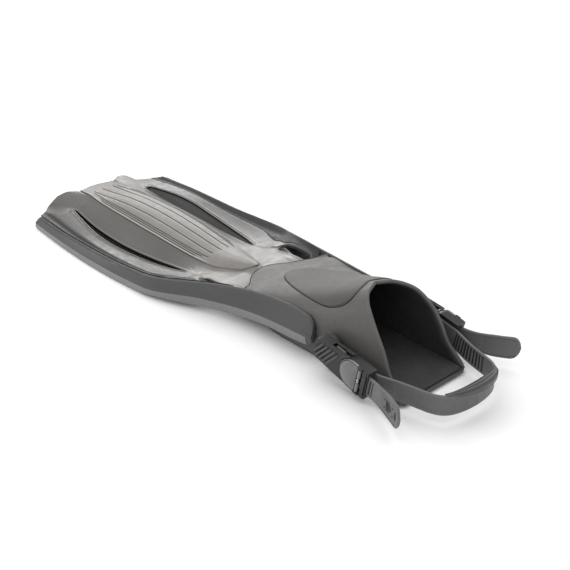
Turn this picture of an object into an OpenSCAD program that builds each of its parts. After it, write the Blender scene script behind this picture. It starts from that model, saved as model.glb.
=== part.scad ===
// Open-heel swim fin: a channelled blade with a rubber foot pocket and a quick-release heel strap.
// +Y runs from the heel to the blade tip, +Z is up, and the sole stands on z = 0. Millimetres.

/* [Blade] */
// Distance from the heel datum to the tips of the two lobes
tip_y = 651; // [620:1:680]
// Thickness of the blade
blade_t = 3.2; // [2.6:0.1:3.8]
// Thickness of the raised leaf-shaped panel on the blade's ridge
panel_t = 1.6; // [1:0.1:2]
// Thickness of the flexible membranes in the blade's slots
membrane_t = 1.4; // [1:0.1:1.6]
// Depth of the membranes below the blade's upper face
membrane_drop = 1.2; // [0.6:0.1:1.4]

/* [Foot pocket] */
// Thickness of the pocket's rubber wall
pocket_t = 4; // [3:0.25:5]
// Thickness of the tread under the sole
tread_t = 2.5; // [2:0.25:3]
// Depth of the tread's grooves
tread_groove = 1.2; // [0.8:0.1:1.6]
// Thickness of the footbed
footbed_t = 2.5; // [2:0.25:3]

/* [Heel strap] */
// Width of the strap
strap_w = 24; // [20:0.5:24]
// Thickness of the strap
strap_t = 3; // [2.6:0.1:3]
// Height of the pull tab over the strap's upper edge
tab_h = 6; // [4:0.5:8]

/* [Buckles] */
// Distance from the centre plane to the inner face of each buckle
buckle_x = 63; // [62.5:0.5:66]
// Thickness of each buckle
buckle_t = 12.8; // [12.8:0.2:13.6]
// Slope of the buckles, down towards the heel
buckle_tilt = 11; // [8:1:14]
// Radius of the round front of the buckle body
body_r = 17.3; // [17:0.1:17.6]
// Radius of the anchor posts that the receivers turn on
post_r = 5; // [4.5:0.1:5.2]
// Radial running clearance of the posts and lever pins
run_gap = 0.05; // [0.02:0.01:0.1]
// Radius of the bar that the strap wraps round
bar_r = 2.7; // [2.5:0.1:2.7]
// Radius of the lever pins
pin_r = 1; // [0.9:0.05:1.1]

/* [Hidden] */
$fn = 64;
eps = 0.01;
soft_black = [0.20, 0.20, 0.21];
mid_grey = [0.46, 0.45, 0.44];
dark_grey = [0.31, 0.31, 0.32];
gloss_black = [0.16, 0.16, 0.17];

// Lines of the right half, each a list of [y, x, z]. The tip rows go on from tip_row.
tip_row = 606;
nominal_tip = 651;
rigid_y = 330;
ridge = [[240, 0, 28], [255, 0, 31], [270, 0, 35], [282, 0, 36], [300, 0, 35], [330, 0, 32], [352, 0, 30.5],
    [370, 0, 31.2], [390, 0, 33], [410, 0, 34.6], [430, 0, 36.1], [450, 0, 37.3], [470, 0, 37.9],
    [490, 0, 38.1], [510, 0, 37.6], [530, 0, 36.7], [550, 0, 34.9], [570, 0, 32.1], [590, 0, 29.2],
    [tip_row, 0, 27]];
leaf_edge = [[240, 4, 28], [268, 4, 34.5], [277, 6, 34.6], [284, 10.5, 32], [294, 14.8, 28.6],
    [306, 19, 25.9],
    [330, 27, 23.5], [363, 31.5, 24], [400, 34, 26], [437, 35.5, 28], [480, 36, 29], [573, 33, 28.5],
    [tip_row, 29.5, 28.5]];
slot_inner = [[240, 54, 32], [262, 56.5, 32], [286, 57, 29.5], [304, 56, 27], [321, 54, 23],
    [340, 53, 18.5], [352, 53, 16.5], [385, 55.5, 13], [414, 58, 10.5], [444, 60.5, 9],
    [474, 62.5, 8.4], [506, 63, 8.5], [540, 62.5, 9.7], [573, 60.5, 12.3], [tip_row, 57.5, 16.5]];
slot_outer = [[240, 62, 35], [270, 68, 35], [297, 68.5, 32], [318, 61, 27], [326, 57, 24],
    [340, 54.5, 19.5], [352, 55.5, 17.5], [376, 62, 15], [402, 67, 13.5], [429, 71, 13], [456, 74.5, 13],
    [484, 77, 14], [514, 77.5, 16.4], [548, 73.5, 18.5], [591, 64.3, 18.5], [tip_row, 60.5, 17.5]];
rail_top = [[109, 55, 53], [150, 54.5, 55], [187, 58, 54], [221, 64, 51], [254, 72, 46], [287, 82, 40],
    [321, 92.5, 33], [358, 102, 27], [403, 105, 22.5], [451, 106, 19], [501, 107, 17.5], [554, 107, 16.5],
    [618, 103.5, 15.5]];
rail_side = [[109, 60, 27], [132, 65, 31], [210, 70, 27], [281, 87, 21], [347, 110, 13], [403, 115.5, 10],
    [450, 117.5, 9], [500, 118.5, 8.5], [560, 117, 8], [618, 113, 7]];
rail_foot = [[109, 60, 20], [150, 63, 17.5], [187, 65.6, 17], [221, 70, 14.3], [254, 77, 11.3],
    [287, 86, 7.5],
    [304, 91.8, 5.7], [321, 98.6, 4.6], [340, 105.6, 4], [358, 110.5, 2.8], [375, 112.5, 1], [390, 113.7, 0],
    [430, 117.3, 0], [480, 119, 0], [540, 118, 0], [618, 113.4, 0]];
// The tip's outline, one point for each of the blade's columns, as [x, y, z]
tip_line = [[0, 646, 23], [10, 644.5, 23.4], [20, 640, 24.3], [27, 636.5, 25], [32, 635.5, 25.4],
    [44, 648, 25.3], [58, 651, 20.8], [69, 650.5, 14], [76, 649, 9.5], [91, 629, 13.5], [103.5, 618, 15.5]];
blade_rows = [240, 250, 260, 272, 284, 295, 307, 318, 326, 340, 352, 366, 380, 395, 412, 430, 448, 466, 484,
    502, 520, 538, 556, 572, 586, 598, tip_row];
tip_steps = [0.35, 0.7, 1];
vent_rows = [250, 307];
slot_rows = [352, 598];
leaf_start = 284;
slot_col = 6;
border_drop = 1.5;
border_w = 3;

// The pocket's mouth and nose as [y, x, z], from the sole's edge up to the centre line
mouth = [[-5, 50.5, 5], [6, 49.5, 16], [18, 47.7, 28.5], [28, 46, 47.5], [40, 44.3, 64.5], [55, 38.8, 79.3],
    [67, 31, 86], [78, 19, 90], [86, 0, 92]];
nose = [[222, 54, 18], [222, 60, 30], [223, 64, 42], [225, 64.5, 50], [234, 51, 44.5], [244, 40, 41.5],
    [256, 30, 37], [266, 16, 36], [270, 0, 36.5]];
pocket_side = [[112, 53.5, 45], [130, 54, 48], [150, 54.5, 50], [187, 58, 52], [210, 62, 51.5]];
pocket_foot = [[112, 50.5, 4], [150, 51.5, 4.5], [187, 53.5, 8], [210, 55, 14]];
pocket_roof = [[86, 0, 92], [112, 0, 81.5], [130, 0, 73], [150, 0, 66], [170, 0, 60], [187, 0, 56],
    [210, 0, 52]];
side_share = 0.45;
pocket_cols = 13;
// The instep panel's edge: at each station along the pocket, its share of the way up to the centre line
panel_edge = [[94, 0.94], [96, 0.84], [100, 0.74], [105, 0.695], [112, 0.68], [130, 0.69], [150, 0.722],
    [165, 0.757], [180, 0.8], [193, 0.84], [205, 0.88], [214, 0.92], [219, 0.955], [222, 0.985]];
panel_lift = 1;

// The sole plate's half-width and its upper face, then its lower face, as [y, x, z]
sole_top = [[-7, 44, 5], [-5, 48.5, 5], [-1, 50.3, 5.2], [6, 50.5, 5.5], [112, 50.5, 6], [150, 51.5, 7],
    [187, 53.5, 11], [212, 56, 18], [240, 58, 28]];
sole_under = [[-7, 44, tread_t], [178, 53, tread_t], [200, 55, 6.5], [222, 57, 15], [240, 58, 24.5]];
tread_y = [-5, 176];
tread_half_w = 48;
tread_corner = 9;

// Buckle frame: the pivot is its origin, +Y is forward along the buckle, and +X is outward
pivot_y = 90;
pivot_z = 37;
bar_y = -46;
bar_x = 4.4;
lever_y = -47;
lever_pin_y = -57.3;
lever_pin_x = 12.6;
knuckle_r = 1.9;
lever_t = 2.4;
wrap_r = bar_r + 0.15 + strap_t / 2;
strap_slot = 12.4;
rear_end = -68.7;
lever_x = bar_x + wrap_r + strap_t / 2 + 0.45;
arm_x = [53.4, 58];
boss_r = 8;
boss_gap = 0.3;
socket_x = 9.5;
snap = [5, 7];

// The strap's middle line behind the right buckle, and the line of its tail, as [y, x, z]
strap_back = [[20, 62.4, 23.6], [8, 58, 23], [-6, 53.5, 22.5], [-20, 50, 22.1], [-32, 47.3, 22],
    [-42, 44, 22], [-50, 38, 22], [-55.5, 28, 22], [-58.5, 14, 22], [-59.5, 0, 22]];
tail_line = [[-41, 96, 27], [-31, 90.3, 25.5], [-17, 83.5, 24.2], [-2, 77.8, 23.5], [11, 74, 23.4],
    [20, 72.3, 23.6]];

// ---- Smooth lines through hand-set points
function lerp(a, b, t) = a + (b - a) * t;
function span(p, s, i = 0) = (i >= len(p) - 2 || s < p[i + 1][0]) ? i : span(p, s, i + 1);
function slope(p, i) = let (a = max(i - 1, 0), b = min(i + 1, len(p) - 1))
    (p[b] - p[a]) / (p[b][0] - p[a][0]);
function hermite(p0, p1, m0, m1, t) = (2 * t * t * t - 3 * t * t + 1) * p0 + (t * t * t - 2 * t * t + t) * m0
    + (3 * t * t - 2 * t * t * t) * p1 + (t * t * t - t * t) * m1;
// The point [y, x, z] of a line at the station s
function at(p, s) = let (i = span(p, s), h = p[i + 1][0] - p[i][0], t = min(max((s - p[i][0]) / h, 0), 1))
    hermite(p[i], p[i + 1], slope(p, i) * h, slope(p, i + 1) * h, t);
// The point at a share u, from 0 to 1, of the way along a list of points
function along(p, u) = let (n = len(p) - 1, i = min(floor(u * n), n - 1), t = u * n - i,
    m0 = (p[i + 1] - p[max(i - 1, 0)]) / (i > 0 ? 2 : 1),
    m1 = (p[min(i + 2, n)] - p[i]) / (i + 2 <= n ? 2 : 1)) hermite(p[i], p[i + 1], m0, m1, t);
// Line points are [y, x, z]; this puts one in model order
function xyz(p) = [p[1], p[0], p[2]];
function flip(p) = [-p[0], p[1], p[2]];
function down(p, d) = [p[0], p[1], p[2] - d];
function reversed(list) = [for (i = [len(list) - 1 : -1 : 0]) list[i]];
// A row of right-half points, from the centre out, made into a whole row from left to right
function whole(half) = concat([for (i = [len(half) - 1 : -1 : 1]) flip(half[i])], half);
// The blade grows from the vents to the tips
function grow(p) = p[1] <= rigid_y ? p
    : [p[0], rigid_y + (p[1] - rigid_y) * (tip_y - rigid_y) / (nominal_tip - rigid_y), p[2]];

// A closed solid between two grids of points, rows along +Y and columns along +X, without the open cells
module sheet(top, bottom, open = function(i, j) false) {
    rows = len(top);
    cols = len(top[0]);
    id = function(i, j, s) s * rows * cols + i * cols + j;
    filled = function(i, j) i >= 0 && j >= 0 && i < rows - 1 && j < cols - 1 && !open(i, j);
    faces = [for (i = [0 : rows - 2], j = [0 : cols - 2]) if (filled(i, j))
        let (a = id(i, j, 0), b = id(i, j + 1, 0), c = id(i + 1, j + 1, 0),
             d = id(i + 1, j, 0), n = rows * cols)
        each concat(
            [[a, d, c], [a, c, b], [a + n, b + n, c + n], [a + n, c + n, d + n]],
            filled(i - 1, j) ? [] : [[a, b, b + n], [a, b + n, a + n]],
            filled(i + 1, j) ? [] : [[c, d, d + n], [c, d + n, c + n]],
            filled(i, j - 1) ? [] : [[d, a, a + n], [d, a + n, d + n]],
            filled(i, j + 1) ? [] : [[b, c, c + n], [b, c + n, b + n]]
        )];
    polyhedron(points = concat([for (r = top) each r], [for (r = bottom) each r]), faces = faces);
}

// A closed bar through rings of points, each ring clockwise seen from the far end
module loft(rings) {
    n = len(rings[0]);
    last = len(rings) - 1;
    sides = [for (i = [0 : last - 1], j = [0 : n - 1])
        let (a = i * n + j, b = i * n + (j + 1) % n) each [[a, b, b + n], [a, b + n, a + n]]];
    start = [for (j = [1 : n - 2]) [0, j + 1, j]];
    end = [for (j = [1 : n - 2]) [last * n, last * n + j, last * n + j + 1]];
    polyhedron(points = [for (r = rings) each r], faces = concat(sides, start, end));
}

module both_sides(left) {
    if (left) mirror([1, 0, 0]) children();
    else children();
}

// ---- Blade
// The blade's upper face across one row: ridge, leaf, border step, slope, slot, shelf and rail edge
function blade_half(y) = let (c = at(ridge, y)[2] - panel_t, l = at(leaf_edge, y), si = at(slot_inner, y),
    so = at(slot_outer, y), r = at(rail_top, y), e = l[2] - panel_t)
    [[0, y, c],
        [l[1] * 0.4, y, lerp(c, e, 0.16)],
        [l[1] * 0.75, y, lerp(c, e, 0.56)],
        [l[1], y, e],
        [l[1] + border_w, y, e - border_drop],
        [lerp(l[1] + border_w, si[1], 0.5), y, lerp(e - border_drop, si[2], 0.48)],
        [si[1], y, si[2]],
        [so[1], y, so[2]],
        [lerp(so[1], r[1], 0.35), y, lerp(so[2], r[2], 0.16)],
        [lerp(so[1], r[1], 0.7), y, lerp(so[2], r[2], 0.5)],
        [r[1], y, r[2]]];
function tip_half(t) = let (base = blade_half(tip_row)) [for (k = [0 : len(base) - 1]) lerp(base[k],
    k < 4 ? down(tip_line[k], panel_t) : tip_line[k], t)];
function blade_face() = concat([for (y = blade_rows) whole(blade_half(y))],
    [for (t = tip_steps) whole(tip_half(t))]);
function row_of(y) = search([y], blade_rows)[0];
function lowered(face, d) = [for (r = face) [for (p = r) down(p, d)]];
function grown(face) = [for (r = face) [for (p = r) grow(p)]];

module blade() {
    face = blade_face();
    cols = len(face[0]);
    in_rows = function(i, ends) i >= row_of(ends[0]) && i < row_of(ends[1]);
    in_slot_cols = function(j) j == (cols - 1) / 2 + slot_col || j == (cols - 1) / 2 - slot_col - 1;
    color(mid_grey) sheet(grown(face), grown(lowered(face, blade_t)),
        function(i, j) in_slot_cols(j) && (in_rows(i, vent_rows) || in_rows(i, slot_rows)));
}

module center_panel() {
    leaf = [for (i = [row_of(leaf_start) : len(blade_rows) + len(tip_steps) - 1])
        let (row = blade_face()[i], mid = (len(row) - 1) / 2) [for (j = [mid - 3 : mid + 3]) row[j]]];
    color(dark_grey) sheet(grown(lowered(leaf, -panel_t)), grown(leaf));
}

module membrane(left) {
    first = row_of(slot_rows[0]);
    last = row_of(slot_rows[1]);
    strip = [for (i = [first : last])
        let (row = blade_half(blade_rows[i])) [row[slot_col], row[slot_col + 1]]];
    color(soft_black) both_sides(left)
        sheet(grown(lowered(strip, membrane_drop)), grown(lowered(strip, membrane_drop + membrane_t)));
}
module left_membrane() membrane(true);
module right_membrane() membrane(false);

// ---- Side rails: a sloping outer face over an upright foot, with a rounded heel end
rail_rows = [118, 118.3, 119.5, 122, 126, 130, 140, 150, 168, 187, 204, 221, 238, 254, 270, 287, 304,
    321, 340, 358, 380, 403, 427, 451, 476, 501, 527, 554, 580, 600, 618];
heel_end = 130;
heel_round = 12;
heel_mid = 33;
heel_blunt = 0.55;
function rail_ring(y) = let (
    k = y < heel_end ? lerp(heel_blunt, 1, sqrt(max(1 - pow((heel_end - y) / heel_round, 2), 0))) : 1,
    a = at(rail_top, y), b = at(rail_side, y), c = at(rail_foot, y),
    z = function(v) lerp(heel_mid, max(v, 0), k))
    [for (p = [[a[1], y, z(a[2])], [lerp(a[1], b[1], 0.25), y, z(lerp(a[2], b[2], 0.1))],
        [b[1], y, z(b[2])], [c[1], y, z(c[2] + 1)], [c[1] - 1, y, z(c[2])], [a[1], y, z(c[2])]]) grow(p)];
module rail(left) {
    color(soft_black) both_sides(left) loft([for (y = rail_rows) rail_ring(y)]);
}
module left_rail() rail(true);
module right_rail() rail(false);

// ---- Foot pocket
// One point of the pocket's section at y, at the share u from the sole's edge (0) to the centre line (1)
function pocket_point(y, u) = let (s = at(pocket_side, y), f = at(pocket_foot, y), r = at(pocket_roof, y)[2])
    u < side_share ? let (t = u / side_share) [lerp(f[1], s[1], sin(90 * t)), y, lerp(f[2], s[2], t)]
    : let (w = 90 * (u - side_share) / (1 - side_share)) [s[1] * cos(w), y, lerp(s[2], r, sin(w))];
function pocket_row(point) = whole(reversed([for (i = [0 : pocket_cols - 1]) point(i / (pocket_cols - 1))]));
// The pocket's surface by station: its mouth at 86, its sections from 112 to 210, and its nose at 270
mouth_s = 86;
section_s = [112, 210];
nose_s = 270;
function pocket_at(s, u) = s < section_s[0] ? let (t = (s - mouth_s) / (section_s[0] - mouth_s))
        lerp(xyz(along(mouth, u)), pocket_point(section_s[0], u), t) + [0.8 * sin(180 * t), 0, 0]
    : s <= section_s[1] ? pocket_point(s, u)
    : lerp(pocket_point(section_s[1], u), xyz(along(nose, u)), (s - section_s[1]) / (nose_s - section_s[1]));
pocket_grid = [for (s = [86, 92.5, 99, 105.5, 112, 121, 130, 140, 150, 160, 170, 180, 190, 200,
    210, 231, 252, 270])
    pocket_row(function(u) pocket_at(s, u))];
function unit(v) = v / norm(v);
// The grid moved in by d, square to its own surface
function inset(grid, d) = let (rows = len(grid) - 1, cols = len(grid[0]) - 1)
    [for (i = [0 : rows]) [for (j = [0 : cols])
        let (across = grid[i][min(j + 1, cols)] - grid[i][max(j - 1, 0)],
            ahead = grid[min(i + 1, rows)][j] - grid[max(i - 1, 0)][j])
        grid[i][j] - d * unit(cross(across, ahead))]];
module foot_pocket() {
    color(mid_grey) sheet(pocket_grid, inset(pocket_grid, pocket_t));
}

// The instep panel lies on the pocket, standing a little proud of it
module instep_panel() {
    shares = [0, 0.25, 0.5, 0.75, 1];
    face = [for (s = [94, 96, 98, 100, 105, 112, 121, 130, 140, 150, 160, 170, 180, 190, 200, 208,
        214, 219, 222])
        whole([for (k = shares) pocket_at(s, 1 - k * (1 - at(panel_edge, s)[1]))])];
    color(mid_grey) sheet(inset(face, -panel_lift), inset(face, panel_lift));
}

// ---- Sole
sole_rows = [-7, -5, -1, 6, 40, 80, 112, 150, 168, 178, 187, 200, 212, 226, 240];
sole_shares = [-1, -0.5, 0, 0.5, 1];
module sole_plate() {
    upper = [for (y = sole_rows) let (p = at(sole_top, y)) [for (s = sole_shares) [p[1] * s, y, p[2]]]];
    lower = [for (y = sole_rows) let (p = at(sole_top, y), q = at(sole_under, y))
        [for (s = sole_shares) [p[1] * s, y, q[2]]]];
    color(mid_grey) sheet(upper, lower);
}
module footbed() {
    edge = 5.2;
    face = [for (y = sole_rows) if (y < 220) let (p = at(sole_top, y), q = max(y, -3))
        [for (s = sole_shares) [(p[1] - edge) * s, y == -7 ? -4 : q, p[2]]]];
    rows = [for (i = [0 : len(face) - 1]) if (i == 0 || face[i][0][1] > face[i - 1][0][1]) face[i]];
    color(gloss_black) sheet(lowered(rows, -footbed_t), lowered(rows, -0.02));
}
module outsole() {
    groove_w = 3;
    groove_pitch = 17;
    color(soft_black) difference() {
        linear_extrude(tread_t) difference() {
            translate([-tread_half_w, tread_y[0]]) square([2 * tread_half_w, tread_y[1] - tread_y[0]]);
            for (s = [-1, 1]) translate([s * tread_half_w, tread_y[0]]) difference() {
                square(2 * tread_corner, center = true);
                translate([-s * tread_corner, tread_corner]) circle(tread_corner);
            }
        }
        for (y = [tread_y[0] + groove_pitch : groove_pitch : tread_y[1] - 10])
            translate([-tread_half_w - 1, y, -eps])
                cube([2 * tread_half_w + 2, groove_w, tread_groove + eps]);
    }
}

// ---- Anchors: a side arm from the sole, with the post that the receiver snaps onto
module at_buckle(left) {
    both_sides(left) translate([buckle_x, pivot_y, pivot_z]) rotate([buckle_tilt, 0, 0]) children();
}
module x_rod(r, x0, x1) {
    translate([x0, 0, 0]) rotate([0, 90, 0]) cylinder(r = r, h = x1 - x0);
}
module anchor_arm(left) {
    half_w = 9;
    foot_z = 3;
    color(mid_grey) both_sides(left) difference() {
        union() {
            translate([arm_x[0], pivot_y - half_w, foot_z])
                cube([arm_x[1] - arm_x[0], 2 * half_w, pivot_z - foot_z]);
            translate([0, pivot_y, pivot_z]) x_rod(half_w, arm_x[0], arm_x[1]);
            translate([50.5, pivot_y - half_w, foot_z]) cube([arm_x[1] - 50.5, 2 * half_w, 4]);
            translate([0, pivot_y, pivot_z]) x_rod(boss_r, arm_x[1] - eps, buckle_x - boss_gap);
        }
        translate([0, pivot_y, pivot_z]) x_rod(post_r, arm_x[0] + 2, buckle_x);
    }
}
module left_anchor_arm() anchor_arm(true);
module right_anchor_arm() anchor_arm(false);
module anchor_post(left) {
    color(dark_grey) both_sides(left) translate([0, pivot_y, pivot_z]) {
        x_rod(post_r, arm_x[0] + 2, buckle_x + socket_x - 0.3);
        x_rod(post_r + 0.8, buckle_x + snap[0] + 0.1, buckle_x + snap[1] - 0.1);
    }
}
module left_anchor_post() anchor_post(true);
module right_anchor_post() anchor_post(false);

// ---- Receivers
cavity_y = -12;
cavity_x = [2.8, 9.8];
cavity_h = 12;
window_y = [-28, -13];
front_y = -8;
function arc(cy, cz, r, a0, a1, n) = [for (i = [0 : n])
    let (a = lerp(a0, a1, i / n)) [cy + r * cos(a), cz + r * sin(a)]];
receiver_side = concat([[-40, -16.4], [-2, -13.4]], arc(1, -6.5, 7, -80, 0, 6), arc(1, 6.5, 7, 0, 80, 6),
    [[-2, 13.4], [-40, 16.4]]);
module side_plate(outline, x0, x1) {
    translate([x0, 0, 0]) rotate([90, 0, 90]) linear_extrude(x1 - x0) polygon(outline);
}
module y_slot(y0, y1, x0, x1, z0, z1) {
    translate([x0, y0, z0]) cube([x1 - x0, y1 - y0, z1 - z0]);
}
module receiver(left) {
    flute_depth = 0.9;
    color(gloss_black) at_buckle(left) difference() {
        side_plate(receiver_side, 0, buckle_t);
        translate([0, lever_y, 0]) x_rod(body_r + 0.8, -1, buckle_t + 1);
        y_slot(-60, cavity_y, cavity_x[0], cavity_x[1], -cavity_h, cavity_h);
        for (s = [0, 1]) mirror([0, 0, s]) {
            y_slot(window_y[0], window_y[1], 3.6, 9, cavity_h - 1, 20);
            y_slot(-60, window_y[0] + 1, 4.3, 8.3, cavity_h - 1, 20);
        }
        x_rod(post_r + run_gap, -1, socket_x);
        x_rod(post_r + 0.9, snap[0], snap[1]);
        for (i = [0 : 3]) translate([buckle_t, 3.5 - 4.2 * i, 3.5 - 2.4 * i]) rotate([37, 0, 0])
            translate([-flute_depth, -0.6, -11 + i]) cube([flute_depth + 1, 1.3, 20 - 2 * i]);
    }
}
module left_receiver() receiver(true);
module right_receiver() receiver(false);

// ---- Buckle bodies: cheeks, tongue, lever ears and keeper bars
body_rear = [[rear_end, -16.2], [rear_end, 16.2], [rear_end + 1.5, 17.3], [lever_y, body_r],
    [lever_y, -body_r],
    [rear_end + 1.5, -17.3]];
module buckle_body(left) {
    color(gloss_black) at_buckle(left) difference() {
        union() {
            difference() {
                union() {
                    translate([0, lever_y, 0]) x_rod(body_r, 0, lever_x - 0.3);
                    side_plate(body_rear, 0, lever_x - 0.3);
                }
                y_slot(-80, bar_y + wrap_r + strap_t / 2 + 0.5, -1, 20, -strap_slot, strap_slot);
            }
            for (s = [0, 1]) mirror([0, 0, s]) {
                y_slot(rear_end, -60.8, 0, buckle_t, strap_slot, body_r);
                y_slot(-60.8, -54.4, 0, lever_pin_x + 1.7, strap_slot + 2, body_r);
            }
            y_slot(-66.6, -62.4, lever_x, buckle_t + 0.4, -body_r, body_r);
            y_slot(rear_end, -67.3, lever_x, buckle_t - 0.6, -16.2, 16.2);
            y_slot(lever_y + body_r - 3, -14, 3.2, 9.4, -4, 4);
        }
        translate([bar_x, bar_y, -14.4]) cylinder(r = bar_r, h = 28.8);
        translate([lever_pin_x, lever_pin_y, -16.6]) cylinder(r = pin_r, h = 33.2);
    }
}
module left_buckle_body() buckle_body(true);
module right_buckle_body() buckle_body(false);

module strap_bar(left) {
    color("silver") at_buckle(left) translate([bar_x, bar_y, -14.4]) cylinder(r = bar_r, h = 28.8);
}
module left_strap_bar() strap_bar(true);
module right_strap_bar() strap_bar(false);

// ---- Pawl levers: a D-shaped plate that lifts off the strap on its pin
lever_side = concat(arc(lever_y, 0, body_r - 0.1, -90, 90, 24), [[-53.8, body_r - 0.1], [-53.8, 14.1],
    [lever_pin_y, 14.1], [lever_pin_y, -14.1], [-53.8, -14.1], [-53.8, -(body_r - 0.1)]]);
coil_h = 3.4;
module pawl_lever(left) {
    color(gloss_black) at_buckle(left) difference() {
        union() {
            side_plate(lever_side, lever_x, lever_x + lever_t);
            translate([lever_pin_x, lever_pin_y, -14.1]) cylinder(r = knuckle_r, h = 28.2);
            y_slot(-53, -51.4, lever_x - 0.3, lever_x + eps, -11, 11);
        }
        translate([lever_pin_x, lever_pin_y, -20]) cylinder(r = pin_r + run_gap, h = 40);
        y_slot(lever_pin_y - 3, lever_pin_y + knuckle_r + 0.5, lever_x - 1, lever_pin_x + 4, -coil_h, coil_h);
    }
}
module left_pawl_lever() pawl_lever(true);
module right_pawl_lever() pawl_lever(false);
module pawl_pin(left) {
    color("silver") at_buckle(left) translate([lever_pin_x, lever_pin_y, -16.6])
        cylinder(r = pin_r, h = 33.2);
}
module left_pawl_pin() pawl_pin(true);
module right_pawl_pin() pawl_pin(false);
module pawl_spring(left) {
    color("silver") at_buckle(left) translate([lever_pin_x, lever_pin_y, -coil_h + 0.3]) difference() {
        cylinder(r = pin_r + 0.65, h = 2 * coil_h - 0.6);
        translate([0, 0, -1]) cylinder(r = pin_r + run_gap, h = 2 * coil_h + 2);
    }
}
module left_pawl_spring() pawl_spring(true);
module right_pawl_spring() pawl_spring(false);

// ---- Release buttons, one in each narrow face of the buckle
module button(left, lower) {
    color(gloss_black) at_buckle(left) mirror([0, 0, lower ? 1 : 0]) {
        y_slot(-30, -16, 3.2, 9.4, 7.2, 11.6);
        y_slot(-30, -17, 4.7, 7.9, 11.6 - eps, 14.4);
    }
}
module left_upper_button() button(true, false);
module left_lower_button() button(true, true);
module right_upper_button() button(false, false);
module right_lower_button() button(false, true);

// ---- Heel strap: tail, wrap round the bar, and the loop behind the heel, as one moulded band
function from_buckle(x, y) = [buckle_x + x, pivot_y + y * cos(buckle_tilt), pivot_z + y * sin(buckle_tilt)];
// Each stop of the strap is [middle point, lean, half-width]
function stop(p, lean, half) = [p, lean, half];
strap_half = concat(
    [for (i = [0 : 8]) let (u = i / 8, p = xyz(along(tail_line, u)))
        stop(p, buckle_tilt * u, strap_w / 2 * (i == 0 ? 0.35 : min(1, 0.62 + 0.6 * u)))],
    [for (y = [-66, -56, bar_y]) stop(from_buckle(bar_x + wrap_r, y), buckle_tilt, strap_w / 2)],
    [for (i = [1 : 11]) let (a = 15 * i) stop(from_buckle(bar_x + wrap_r * cos(a), bar_y + wrap_r * sin(a)),
        buckle_tilt, strap_w / 2)],
    [for (y = [bar_y, -54, -64]) stop(from_buckle(bar_x - wrap_r, y), buckle_tilt, strap_w / 2)],
    [for (i = [0 : 20]) let (u = i / 20) stop(xyz(along(strap_back, u)), buckle_tilt * max(1 - 2.5 * u, 0),
        strap_w / 2)]
);
strap_stops = concat(strap_half, [for (i = [len(strap_half) - 2 : -1 : 0])
    stop(flip(strap_half[i][0]), strap_half[i][1], strap_half[i][2])]);
function strap_ring(i, side) = let (s = strap_stops[i], n = len(strap_stops) - 1,
    ahead = strap_stops[min(i + 1, n)][0] - strap_stops[max(i - 1, 0)][0],
    up = [0, -sin(s[1]), cos(s[1])], out = unit(cross(up, ahead)))
    [for (h = [-1, 1]) s[0] + up * h * s[2] + out * side * strap_t / 2];
module heel_strap() {
    last = len(strap_stops) - 1;
    color(soft_black) sheet([for (i = [0 : last]) strap_ring(i, 1)],
        [for (i = [0 : last]) strap_ring(i, -1)]);
}

// The pull tab rides on the strap's upper edge at the heel and reaches out behind it
module heel_tab() {
    base_z = 22 + strap_w / 2;
    reach = 9.5;
    ring = function(u) let (p = along(strap_back, u), bulge = sin(90 * (u - 0.66) / 0.34),
        y_in = p[0] + strap_t / 2, y_out = p[0] - strap_t / 2 - reach * bulge,
        top = base_z + 1.5 + tab_h * bulge)
        [[p[1], y_in, base_z + 0.02], [p[1], y_out, base_z + 0.02], [p[1], y_out - 1, top - 2],
            [p[1], lerp(y_in, y_out, 0.8), top], [p[1], lerp(y_in, y_out, 0.2), top],
            [p[1], y_in, top - 1.5]];
    half = [for (u = [0.66, 0.7, 0.76, 0.83, 0.9, 1]) ring(u)];
    color(soft_black) loft(concat([for (r = half) reversed(r)],
        [for (i = [len(half) - 2 : -1 : 0]) [for (p = reversed(half[i])) flip(p)]]));
}

blade();
center_panel();
left_rail();
right_rail();
left_membrane();
right_membrane();
foot_pocket();
instep_panel();
sole_plate();
footbed();
outsole();
left_anchor_arm();
right_anchor_arm();
left_anchor_post();
right_anchor_post();
left_receiver();
right_receiver();
heel_strap();
heel_tab();
left_buckle_body();
right_buckle_body();
left_strap_bar();
right_strap_bar();
left_pawl_lever();
right_pawl_lever();
left_pawl_pin();
right_pawl_pin();
left_pawl_spring();
right_pawl_spring();
left_upper_button();
left_lower_button();
right_upper_button();
right_lower_button();
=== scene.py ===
import math

import bmesh
import bpy
import numpy as np
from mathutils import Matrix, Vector


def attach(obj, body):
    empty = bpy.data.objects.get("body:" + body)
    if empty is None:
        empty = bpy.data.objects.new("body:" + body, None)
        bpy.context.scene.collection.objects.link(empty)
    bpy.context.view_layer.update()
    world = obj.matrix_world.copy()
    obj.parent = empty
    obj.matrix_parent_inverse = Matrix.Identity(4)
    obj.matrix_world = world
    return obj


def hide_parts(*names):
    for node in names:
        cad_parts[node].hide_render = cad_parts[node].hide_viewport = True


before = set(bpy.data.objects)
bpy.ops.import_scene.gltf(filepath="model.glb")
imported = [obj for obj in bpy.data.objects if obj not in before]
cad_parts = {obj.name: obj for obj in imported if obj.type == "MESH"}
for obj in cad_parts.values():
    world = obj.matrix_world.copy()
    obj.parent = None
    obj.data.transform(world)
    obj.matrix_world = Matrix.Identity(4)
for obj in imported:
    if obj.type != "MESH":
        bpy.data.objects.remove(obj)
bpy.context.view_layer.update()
MM = 0.001
scene = bpy.context.scene
scene.view_settings.view_transform = "Standard"


def rgb(grey, warm=0.0):
    """A nearly neutral colour of that linear grey, a little warmer or cooler."""
    return (grey * (1 + warm), grey, grey * (1 - warm), 1.0)


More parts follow.
